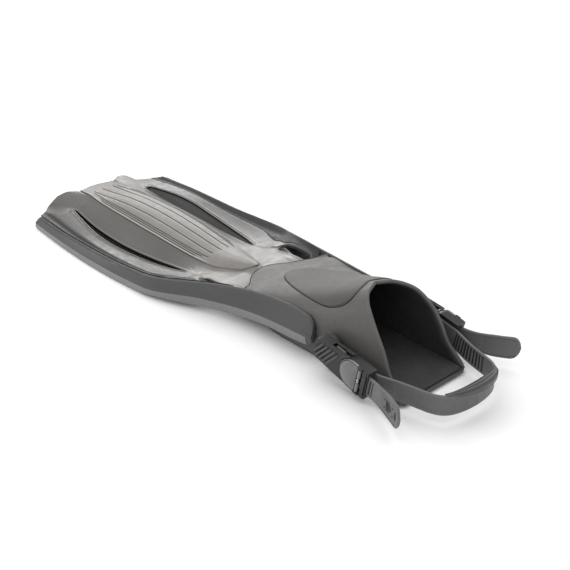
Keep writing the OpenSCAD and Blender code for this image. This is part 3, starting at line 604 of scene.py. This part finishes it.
# ---------------------------------------------------------------- leaf on the blade's ridge
FOOT_V, FOOT_ROUND = 279.0, 12.0
leaf_v = stations(FOOT_V + np.linspace(0, 1, 12) ** 2 * 12, np.arange(294, TIP_ROW + 0.1, 2.4),
                  np.arange(340, 372, FINE), TIP_STEPS)
share = np.concatenate([np.linspace(0, 0.66, 56)[:-1], np.linspace(0.66, 1, 56)])
leaf = across(controls(leaf_v)[:, :4], RIDGE_KNOTS, share)
leaf[..., 0] *= dome(leaf_v - FOOT_V, FOOT_ROUND, 0.004)[:, None]
x, y = leaf[..., 0], leaf[..., 1]
to_edge = x[:, -1:] - x
PAIR = Line([340, 12.6], [370, 13.2], [410, 14.2], [490, 14.9], [570, 15.2], [610, 15.6], [652, 15.6])
# painted shade darkens each groove and the leaf's very edge; painted highlights run along each groove's flanks and
# just inside the leaf's rim
groove, shade_and_highlight = np.zeros_like(x), np.zeros_like(x)


def groove_span(y0, y1):
    """1 along a groove that runs from y0 to y1, 0 beyond its ends."""
    return ease(y, y0 - 3, y0 + 2) * (1 - ease(y, y1 - 2, y1 + 3))


for where, y0, y1 in ((0 * y, 347.6, 621.0), (PAIR.at(y)[..., 0], 350.0, 618.0)):
    span = groove_span(y0, y1)
    groove += span * (1.05 * hump(x, where, 0.8) + 0.45 * hump(x, where, 2.6))
    shade_and_highlight += span * (hump(x, where, 0.85) - 0.35 * hump(np.abs(x - where), 2.0, 0.7))
for where, y0, y1 in ((3.0, 366.0, 578.0), (6.0, 357.0, 587.0), (8.6, 348.0, 613.0)):
    span = groove_span(y0, y1)
    groove += span * hump(to_edge, where, 0.6)
    shade_and_highlight += span * (hump(to_edge, where, 0.8) - 0.35 * hump(to_edge, where - 1.4, 0.5))
shade_and_highlight -= 0.8 * hump(to_edge, 1.2, 0.7) * ease(y, 335, 360)
shade_and_highlight += 0.9 * hump(to_edge, 0.0, 0.5) * ease(y, 335, 360)
rim = 1.1 * (1 - dome(to_edge, 1.4))
leaf_top, leaf_low = leaf.copy(), leaf.copy()
leaf_top[..., 2] += PANEL - groove - rim + 0.45 * hump(to_edge, 1.3, 0.8)
leaf_top[0, :, 2] = leaf_low[0, :, 2] + 0.2
shade_and_highlight = np.clip(shade_and_highlight, -1, 1)
piece("leaf", *sheet(whole(painted(leaf_top, shade_and_highlight)), whole(painted(leaf_low, shade_and_highlight))), "fin",
      MAT["leaf_rubber"], "leaf_rubber", "center_panel", bevel=0.3)

# ---------------------------------------------------------------- membranes that sag in the slots
MEMBRANE, SLOT_LAP = 1.1, 1.5
mem_v = stations(np.arange(SLOT[0] - SLOT_LAP, SLOT[1] + 1.6, 2.5), [SLOT[1] + SLOT_LAP])
c = controls(mem_v)
f = np.linspace(-0.02, 1.02, 19)[None, :]
strip = lerp(c[:, 6:7], c[:, 7:8], f[..., None])
wide = (c[:, 7, 0] - c[:, 6, 0])[:, None]
inside = np.clip(f, 0, 1)
sag = np.clip(wide * 0.34, 0.0, 4.4) * np.sin(np.pi * inside) ** 0.8 + 1.7
sag = sag + 1.6 * (1 - ease(inside, 0.12, 0.42)) * np.clip(wide / 10, 0, 1)
# painted shadow: the inner third of each membrane, next to the ridge, is painted dark
painted_shadow = 1 - ease(inside, 0.22, 0.46)
fold = 0.25 * np.sin(inside * np.pi * 6) * np.clip(wide / 12, 0, 1)
strip[..., 2] -= sag - fold
low = strip.copy()
low[..., 2] -= MEMBRANE
pts, faces = sheet(painted(strip, painted_shadow), painted(low, painted_shadow))
for left, side in SIDES:
    piece(side + "_slot_membrane", mirrored(pts, left), faces, "fin", MAT["membrane_rubber"], "membrane_rubber",
          side + "_membrane", bevel=0.2)

# ---------------------------------------------------------------- side rails
HEEL_Y, TIP_Y, HEEL_MID = 118.0, 618.0, 33.0
BAND_Y, BAND_BULGE = 124.0, 0.7


def body_ring(a, b, g):
    """The rail's section: a bead along its top edge, then a hollow face down to its foot."""
    r = min(1.7, 0.26 * (b[0] - a[0]))
    w = np.radians(np.linspace(180, 25, 9))
    bead = np.stack([a[0] + r + r * np.cos(w), a[1] - r + r * np.sin(w)], -1)
    dip = bead[-1] + np.array([0.55, -0.75])
    q = np.array([lerp(a[0], b[0], 0.3), lerp(a[1], b[1], 0.13)])
    face = [dip] + [(1 - t) ** 2 * (dip + [0.5, 0.35]) + 2 * t * (1 - t) * (q + [1.2, 0.6]) + t * t * b
                    for t in np.linspace(0, 1, 11)]
    sole = [g + [-0.2, 1.2], g + [-0.6, 0.3], g + [-1.6, 0.05], [a[0], g[1] + 0.05]]
    return np.concatenate([bead, face, sole])


def band_ring(b, g):
    """The section of the band below the rail's face; the band is rail rubber painted lighter as the white floor's
    reflection.
    """
    mid = [lerp(b, g, t) + np.array([BAND_BULGE * (0.35 + math.sin(math.pi * t) * 0.65), 0.0])
           for t in np.linspace(0.09, 0.86, 9)]
    turn = 0.55 * min(1.6, 0.3 * (b[1] - g[1]))
    return np.array([b + [-1.2, 0.0], b + [0.1, 0.15]] + mid + [g + [0.0, turn], g + [-0.5, 0.12], g + [-1.6, 0.4]])


def rail_rings(ys, band):
    """The rings of the rail's body or of its band. They shrink towards its rounded heel and tip ends."""
    rings = []
    for s in ys:
        a, b, foot = rail_top.at(s), rail_side.at(s), rail_foot.at(s)
        g = np.array([foot[0], max(foot[1], 0.0)])
        ring = band_ring(b, g) if band else body_ring(a, b, g)
        k = (0.45 + 0.55 * dome(s - HEEL_Y, 12)) * (0.5 + 0.5 * dome(TIP_Y - s, 7))
        centre_z = lerp(HEEL_MID, ring[:, 1].mean(), ease(s, 130, 180))
        z = np.maximum(lerp(centre_z, ring[:, 1], k), 0.0)
        rings.append(np.stack([ring[:, 0], np.full(len(ring), s), z], -1))
    return np.array(rings)


rail_y = stations(HEEL_Y + np.linspace(0, 1, 9) ** 2 * 12, np.arange(133, 610, 4.0),
                  TIP_Y - np.linspace(0, 1, 8) ** 2 * 8)
body_loft, band_loft = loft(rail_rings(rail_y, False)), loft(rail_rings(rail_y[rail_y > BAND_Y], True))
for left, side in SIDES:
    piece(side + "_rail_body", mirrored(body_loft[0], left), body_loft[1], "fin", MAT["rail_rubber"],
          "rail_rubber", side + "_rail", bevel=0.4, angle=42)
    piece(side + "_rail_band", mirrored(band_loft[0], left), band_loft[1], "fin", MAT["band_floor_lit_rubber"],
          "rail_rubber", bevel=0.3, angle=42)


# ---------------------------------------------------------------- foot pocket
def pocket_section(s, u):
    """The pocket's section at a station, from the sole at u = 0 over the side to the top at u = 1."""
    side, foot, roof = pocket_side.at(s), pocket_foot.at(s), pocket_roof.at(s)[..., 0]
    t, w = u / SIDE_SHARE, np.pi / 2 * (u - SIDE_SHARE) / (1 - SIDE_SHARE)
    below = lerp(foot[..., 0], side[..., 0], np.sin(np.pi / 2 * np.minimum(t, 1)))
    x = np.where(u < SIDE_SHARE, below, side[..., 0] * np.cos(w))
    z = np.where(u < SIDE_SHARE, lerp(foot[..., 1], side[..., 1], t), lerp(side[..., 1], roof, np.sin(w)))
    return np.stack([x, s + 0 * u, z], -1)


def pocket_at(s, u):
    """The pocket's surface: the mouth at 86, its sections from 112 to 210, and its nose at 270."""
    s, u = np.broadcast_arrays(np.asarray(s, float), np.asarray(u, float))
    a, b = SECTION_S
    t = ((s - MOUTH_S) / (a - MOUTH_S))[..., None]
    near = lerp(mouth.along(u), pocket_section(np.full_like(s, a), u), t)
    near[..., 0] += 0.8 * np.sin(np.pi * t[..., 0])
    far = lerp(pocket_section(np.full_like(s, b), u), nose.along(u), ((s - b) / (NOSE_S - b))[..., None])
    s3 = s[..., None]
    return np.where(s3 < a, near, np.where(s3 <= b, pocket_section(np.clip(s, a, b), u), far))

WALL, LINING, LINING_GAP = 2.4, 1.55, 0.05
BEAD_R, BEAD_DEEP, BEAD_IN = 2.05, 1.6, np.array([0, 0.28, 0])
pocket_s = np.linspace(MOUTH_S, NOSE_S, 84)
pocket_u = np.linspace(1, 0, 56)
shell = pocket_at(pocket_s[:, None], pocket_u[None, :])
shell = whole(relaxed(relaxed(shell, 10), 3, axis=1))
n = normals(shell)
piece("pocket_shell", *sheet(shell, shell - n * WALL), "fin", MAT["pocket_rubber"], "pocket_rubber",
      "foot_pocket", bevel=0.5)
lining = shell - n * (WALL + LINING_GAP)
piece("pocket_lining", *sheet(lining, lining - n * LINING), "fin", MAT["lining_rubber"], "pocket_rubber")
lip = mouth.along(np.linspace(0.02, 1, 90))
lip = np.concatenate([lip, (lip * FLIP)[-2::-1]])
row_n = n[0, ::-1]
at_lip, at_row = np.linspace(0, 1, len(lip)), np.linspace(0, 1, len(row_n))
lip_n = np.stack([np.interp(at_lip, at_row, row_n[:, k]) for k in range(3)], -1)
piece("mouth_bead", *tube(lip + BEAD_IN - lip_n * BEAD_DEEP, BEAD_R, 14), "fin", MAT["pocket_rubber"],
      "pocket_rubber")

# ---------------------------------------------------------------- instep panel, and painted shadow lines round it and along the pocket's nose
INSTEP_ENDS, INSTEP_RISE, INSTEP_ROUND, INSTEP_DEEP, EDGE_SHADOW_R, NOSE_SHADOW_R = (94, 222), 1.15, 2.2, 0.6, 0.48, 0.55
inst_s = stations(np.linspace(94, 100, 8), np.arange(102, 214, 3.0), np.linspace(214, 222, 7))
edge_u = panel_edge.at(inst_s)[:, 0]
k = np.linspace(0, 1, 40)
inst = pocket_at(inst_s[:, None], 1 - k[None, :] * (1 - edge_u[:, None]))
inst = whole(relaxed(inst, 6))
to_side = np.minimum(np.linalg.norm(inst - inst[:, -1:], axis=-1), np.linalg.norm(inst - inst[:, :1], axis=-1))
to_end = np.minimum(inst_s - (INSTEP_ENDS[0] - 0.2), (INSTEP_ENDS[1] + 0.3) - inst_s)[:, None]
rise = INSTEP_RISE * dome(np.minimum(to_side, to_end * 1.2), INSTEP_ROUND)
nn = normals(inst)
piece("instep", *sheet(inst + nn * (rise[..., None] + 0.05), inst - nn * INSTEP_DEEP), "fin",
      MAT["instep_rubber"], "instep_rubber", "instep_panel")
# painted shadow: a near-black tube along the panel's edge stands in for the shade in the gap round it
shadow_s = np.linspace(INSTEP_ENDS[0] - 0.4, INSTEP_ENDS[1] + 0.4, 120)
right_edge = pocket_at(shadow_s, panel_edge.at(np.clip(shadow_s, *INSTEP_ENDS))[:, 0])
loop = relaxed(np.concatenate([right_edge, (right_edge * FLIP)[::-1], right_edge[:1]]), 2)
piece("instep_edge_shadow", *tube(loop, EDGE_SHADOW_R, 8, ends=False), "fin", MAT["shadow_line_rubber"], "pocket_rubber")
# painted shadow: a near-black tube along the pocket's nose edge stands in for the shade where it meets the blade
edge = shell[-1] + np.array([0, 0.1, -0.2])
piece("nose_edge_shadow", *tube(edge, NOSE_SHADOW_R, 8), "fin", MAT["shadow_line_rubber"], "pocket_rubber")

# ---------------------------------------------------------------- flange inside each rail's top edge, in rail rubber painted darker as shade
f = np.linspace(0, 1, 22)[None, :]
at_share = lerp(lerp(0.34, 0.68, ease(v_rows, 292, 384))[:, None], 1.0, f)
flange = np.stack([np.stack([np.interp(at_share[i], soft_near, half[i, last_slot:, k]) for k in range(3)], -1)
                   for i in range(len(v_rows))])
flange[..., 2] += STEP_IN * drop_in[:, -1:] * ease(at_share, 0.62, 0.82) * ease(at_share, 0.82, 0.995)
flange_top, flange_low = flange.copy(), flange.copy()
flange_top[..., 2] += 0.9 * dome(np.linalg.norm(flange - flange[:, :1], axis=-1), 1.3, 0.02)
flange_low[..., 2] -= 0.5
pts, faces = sheet(flange_top, flange_low)
for left, side in SIDES:
    piece(side + "_rail_flange", mirrored(pts, left), faces, "fin", MAT["flange_shaded_rubber"], "rail_rubber", bevel=0.2)


# ---------------------------------------------------------------- heel strap
def from_buckle(x, y):
    """Points on the strap's run at a buckle, in the buckle's own frame."""
    x, y = np.broadcast_arrays(np.asarray(x, float), np.asarray(y, float))
    return np.stack([BUCKLE[0] + x, BUCKLE[1] + y * math.cos(TILT), BUCKLE[2] + y * math.sin(TILT)], -1)


STRAP_W, STRAP_T, WRAP, BAR_X, BAR_Y = 24.0, 3.0, 4.35, 4.4, -46.0
TOOTH_PITCH, TOOTH_DEEP, LEAST_T = 5.0, 1.15, 0.05
w = np.radians(np.linspace(0, 180, 37))
u = np.linspace(0, 1, 60)
round_back = np.linspace(0, 1, 200)
runs = [
    (tail_line.along(u), TILT * u),
    (from_buckle(BAR_X + WRAP, np.linspace(-66, BAR_Y, 20)), TILT * np.ones(20)),
    (from_buckle(BAR_X + WRAP * np.cos(w), BAR_Y + WRAP * np.sin(w))[1:-1], TILT * np.ones(35)),
    (from_buckle(BAR_X - WRAP, np.linspace(BAR_Y, -64, 20)), TILT * np.ones(20)),
    (strap_back.along(round_back), TILT * np.maximum(1 - 2.5 * round_back, 0)),
]
path = np.concatenate([r[0] for r in runs])
lean = np.concatenate([r[1] for r in runs])
run = lengths(path)
marks = np.concatenate([[0], np.cumsum([len(r[0]) for r in runs])])
tail_end, back_start = run[marks[1]], run[marks[4]]
s_half = np.concatenate([np.linspace(0, 1, 12)[:-1] ** 2 * 6, np.arange(6, 42, 0.4), np.arange(42, run[-1], 0.8)])
s_half = np.unique(np.append(s_half, run[-1]))
mid = relaxed(np.stack([np.interp(s_half, run, path[:, k]) for k in range(3)], -1), 6)
lean_h = np.interp(s_half, run, lean)
full = np.concatenate([mid, (mid * FLIP)[-2::-1]])
s_full = np.concatenate([s_half, s_half[-2::-1]])
lean_f = np.concatenate([lean_h, lean_h[-2::-1]])
up = np.stack([0 * lean_f, -np.sin(lean_f), np.cos(lean_f)], -1)
out = np.cross(up, np.gradient(full, axis=0))
out /= np.linalg.norm(out, axis=1, keepdims=True)
half_w = STRAP_W / 2 * (1 + 0.16 * (1 - ease(s_full, 26, 54))) * dome(s_full, 11, 0.02)
rounded = np.linspace(0, 1, 7) ** 1.5 * 0.14
c = np.concatenate([-1 + rounded, np.linspace(-0.86, 0.86, 53)[1:-1], 1 - rounded[::-1]])
h = half_w[:, None] * c[None, :]
off, room = np.abs(h), half_w[:, None] - np.abs(h)
near_edge = np.clip(room / 1.5, 0, 1)
thick = STRAP_T / 2 * dome(room, 1.5)
S = s_full[:, None] + 0 * h

# sizing teeth on the inner face
tooth = np.clip(np.abs(((S - back_start) / TOOTH_PITCH) % 1 - 0.5) * 6 - 0.8, 0, 1)
on_teeth = ease(S, back_start - 2, back_start + 1) * (1 - ease(S, back_start + 50, back_start + 53))
on_teeth = np.maximum(on_teeth, ease(S, tail_end - 12, tail_end - 10) * (1 - ease(S, tail_end + 14, tail_end + 16)))
inner = -TOOTH_DEEP * on_teeth * (1 - ease(off, 8.8, 9.6)) * tooth

# moulded recesses on each loose end: a bordered panel, an arrow with a notch, an oval and four dots
on_tail = 1 - ease(S, tail_end - 30, tail_end - 28)
panel = on_tail * ease(S, 4.2, 5.2) * ease(room, 2.4, 3.4)
arrow_w = np.clip((S - 19) * 0.95, 0.2, 6.3)
arrow = (1 - ease(off, arrow_w - 0.5, arrow_w + 0.5)) * ease(S, 19, 20) * (1 - ease(S, 32, 33.2))
notch = (1 - ease(off, 2.2, 3.0)) * ease(S, 26.5, 27.5) * (1 - ease(S, 32, 33.2))
inner -= 0.35 * panel + 0.55 * arrow + 0.5 * notch
inner -= 0.85 * (1 - ease(((S - 9.5) / 2.6) ** 2 + (h / 5.6) ** 2, 0.7, 1.1))
for s_dot in (16.5, 35.5):
    for h_dot in (-4.6, 4.6):
        inner -= 0.9 * (1 - ease(np.hypot(S - s_dot, h - h_dot), 0.9, 1.5))
outer = -0.25 * ease(S, back_start + 20, back_start + 22) * (1 - ease(off, 8.6, 9.4)) - 0.3 * panel
# painted shade: the teeth, the recesses and the panel's border line are painted darker
border_shade = on_tail * hump(room, 2.9, 0.5) * ease(S, 3, 5)
painted_shade_in = np.maximum(np.clip(-inner / 0.7 - 0.3, 0, 1), 0.6 * border_shade)
painted_shade_out = 0.5 * border_shade + np.clip(-outer / 2, 0, 0.1)
middle = full[:, None] + up[:, None] * h[..., None]
face_out = middle + out[:, None] * np.maximum(thick + outer * near_edge, LEAST_T)[..., None]
face_in = middle - out[:, None] * np.maximum(thick + inner * near_edge, LEAST_T)[..., None]
piece("strap_band", *loft(np.concatenate([painted(face_out, painted_shade_out), painted(face_in, painted_shade_in)[:, ::-1]], 1)),
      "strap", MAT["strap_rubber"], "strap_rubber", "heel_strap")

# ---------------------------------------------------------------- pull tab on the strap
TAB_Z, TAB_REACH, TAB_H, TAB_START = 34.0, 9.5, 6.0, 0.66
rings = []
for uu in TAB_START + (1 - TAB_START) * np.linspace(0, 1, 30) ** 0.8:
    p = strap_back.along(uu)
    b = math.sin(math.pi / 2 * (uu - TAB_START) / (1 - TAB_START))
    y0, y1, zt = p[1] + 1.5, p[1] - 1.5 - TAB_REACH * b, TAB_Z + 1.5 + TAB_H * b
    f = np.linspace(0, 1, 27)
    crown = zt - 1.4 * (1 - np.sin(np.pi * f).clip(0) ** 0.35) * min(1, b + 0.2)
    crown += 1.1 * b * (np.cos(2 * np.pi * 3 * f) - 1) * 0.5 * ease(f, 0.04, 0.12) * (1 - ease(f, 0.88, 0.96))
    ridge_top = np.stack([0 * f + p[0], lerp(y1, y0, f), np.maximum(crown, TAB_Z + 0.3)], -1)
    rings.append(np.concatenate([ridge_top, [[p[0], y, TAB_Z + 0.02] for y in (y0, lerp(y0, y1, 0.5), y1)]]))
rings = np.array(rings)
rings = np.concatenate([rings, mirrored(rings, True)[-2::-1]])
piece("pull_tab", *loft(rings), "strap", MAT["tab_rubber"], "tab_rubber", "heel_tab", bevel=0.5, angle=45)

# ---------------------------------------------------------------- each buckle: lever pad with a painted shadow round it, receiver ribs with painted highlights and painted shadow strips between them, coil
PAD_R, PAD_Y, PAD_X, PAD_RISE = 15.6, -47.0, 13.0, 2.9
RIBS, RIB_START, RIB_PITCH, RIB_SLANT = 9, 2.6, 2.7, math.radians(33)
RIB_R, SHADOW_STRIP_R, SHADOW_STRIP_FLAT = 1.75, 1.0, 0.3
COIL_R, COIL_WIRE, COIL_TURNS, COIL_HALF = 1.42, 0.3, 6.5, 2.95
centre = np.array([-44.5, 0.0])
ang = np.radians(np.linspace(-90, 90, 33))
pad_heel = np.array([[-50, 15.6], [-53.6, 15.4], [-54.4, 14.6], [-54.6, 8]])
outline = np.concatenate([np.stack([PAD_Y + PAD_R * np.cos(ang), PAD_R * np.sin(ang)], -1), pad_heel,
                          [[-54.6, 0]], (pad_heel * [1, -1])[::-1]])
rings = []
for t in np.concatenate([[1.0], np.linspace(1, 0.04, 15)]):
    x = PAD_X + PAD_RISE * max(1 - t ** 2, 0) ** 0.7 if rings else PAD_X - 0.4
    rings.append(np.insert(centre + (outline - centre) * t, 0, x, axis=1))
pad = loft(rings)
gap = np.insert(centre + (outline - centre) * 1.045, 0, PAD_X - 0.25, axis=1)
# painted shadow: a near-black tube along the gap round the lever pad
gap_shadow = tube(np.concatenate([gap, gap[:2]]), 0.6, 8, ends=False)
turn = np.linspace(0, 2 * np.pi * COIL_TURNS, 150)
coil = tube(np.stack([12.6 + COIL_R * np.cos(turn), -57.3 + COIL_R * np.sin(turn),
                      np.linspace(-COIL_HALF, COIL_HALF, 150)], -1), COIL_WIRE, 7)
for left, side in SIDES:
    piece(side + "_lever_pad", on_buckle(pad[0], left), pad[1], side + "_lever", MAT["lever_plastic"],
          "lever_plastic")
    piece(side + "_lever_gap_shadow", on_buckle(gap_shadow[0], left), gap_shadow[1], "strap", MAT["shadow_line_rubber"],
          "buckle_plastic")
    for k in range(RIBS):
        across_rib = np.linspace(-16, 16, 60)
        y_r = RIB_START - RIB_PITCH * k - math.sin(RIB_SLANT) * across_rib
        rib = np.stack([0 * y_r + 12.5, y_r, math.cos(RIB_SLANT) * across_rib], -1)
        nose_w = 6.3 + 7 * np.sqrt(np.clip(1 - ((y_r - 1) / 7) ** 2, 0, 1))
        limit = np.where(y_r < -2, 13.2 + (-2 - y_r) * 3 / 38, nose_w)
        rib = rib[(np.abs(rib[:, 2]) < limit - 2.0) & (y_r < 6.4) & (y_r > -26)]
        # the ribs are painted lighter as highlights; the flat strips between them are painted dark as shadow
        kind = "shadow_strip" if k % 2 else "rib"
        if kind == "shadow_strip":
            (pts, faces), shade = tube(rib, SHADOW_STRIP_R, 12, flat=SHADOW_STRIP_FLAT), 1.0
        else:
            (pts, faces), shade = tube(rib, RIB_R, 12), -0.35
        piece("%s_receiver_%s_%d" % (side, kind, k // 2 + 1), painted(on_buckle(pts, left), shade), faces,
              side + "_receiver", MAT["buckle_plastic"], "buckle_plastic")
    piece(side + "_pawl_coil", on_buckle(coil[0], left), coil[1], "strap", MAT["spring_steel"], "spring_steel",
          side + "_pawl_spring")

# ---------------------------------------------------------------- CAD nodes that stay, with rounded edges
KEPT = {
    "sole_plate": ("chassis_plastic", 0.6), "footbed": ("footbed_rubber", 0.6),
    "outsole": ("tread_rubber", 0.5), "anchor_arm": ("chassis_plastic", 0.6),
    "anchor_post": ("post_plastic", 0.3), "receiver": ("buckle_plastic", 0.45),
    "buckle_body": ("buckle_plastic", 0.45), "strap_bar": ("pin_steel", 0.2),
    "pawl_lever": ("lever_plastic", 0.35), "pawl_pin": ("pin_steel", 0.15),
    "upper_button": ("button_plastic", 0.35), "lower_button": ("button_plastic", 0.35),
}
KEPT_ANGLE, FLAT_ANGLE, WELD = 38, 0.5, 0.01
for node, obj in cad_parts.items():
    kind = node.split("_", 1)[1] if node.startswith(("left_", "right_")) else node
    if kind not in KEPT:
        continue
    slot, width = KEPT[kind]
    for s in obj.material_slots:
        s.material = MAT[slot]
    weld = obj.modifiers.new("weld", "WELD")
    weld.merge_threshold = WELD * MM
    flat = obj.modifiers.new("flat", "DECIMATE")
    flat.decimate_type, flat.angle_limit = "DISSOLVE", math.radians(FLAT_ANGLE)
    soften(obj, width, KEPT_ANGLE, clamp=True)

# ---------------------------------------------------------------- floor, light
FLOOR, FLOOR_Z, SKY = 6.0, -0.0004, 0.84
floor_mesh = bpy.data.meshes.new("floor")
corners = [(-FLOOR, -FLOOR, 0), (FLOOR, -FLOOR, 0), (FLOOR, FLOOR, 0), (-FLOOR, FLOOR, 0)]
floor_mesh.from_pydata(corners, [], [(0, 1, 2, 3)])
floor = bpy.data.objects.new("floor", floor_mesh)
floor.location.z = FLOOR_Z
scene.collection.objects.link(floor)
ground = Nodes("floor_paint")
ground.link(ground.blend(ground.noise(3, 2), rgb(0.93), rgb(0.95)), ground.shader.inputs["Base Color"])
ground.shader.inputs["Roughness"].default_value = 0.95
ground.shader.inputs["Specular IOR Level"].default_value = 0.1
floor_mesh.materials.append(ground.material)

world = bpy.data.worlds.new("studio")
world.use_nodes = True
world.node_tree.nodes["Background"].inputs["Color"].default_value = (1, 1, 1, 1)
world.node_tree.nodes["Background"].inputs["Strength"].default_value = SKY
scene.world = world


def lamp(name, towards, distance, size, power):
    """An area lamp that looks at the camera's target from a direction and a distance."""
    data = bpy.data.lights.new(name, "AREA")
    data.shape, data.size, data.size_y, data.energy = "RECTANGLE", size[0], size[1], power
    obj = bpy.data.objects.new(name, data)
    direction = Vector(towards).normalized()
    obj.location = TARGET + direction * distance
    obj.rotation_euler = direction.to_track_quat("Z", "Y").to_euler()
    obj.visible_camera = False
    scene.collection.objects.link(obj)


lamp("overhead", (0.1, 0.1, 1.0), 2.3, (3.0, 3.0), 26)
lamp("back_softbox", (0.58, 0.76, 0.30), 1.8, (1.0, 0.55), 8.5)
lamp("near_strip", (-0.63, 0.65, 0.45), 1.4, (0.9, 0.2), 4)
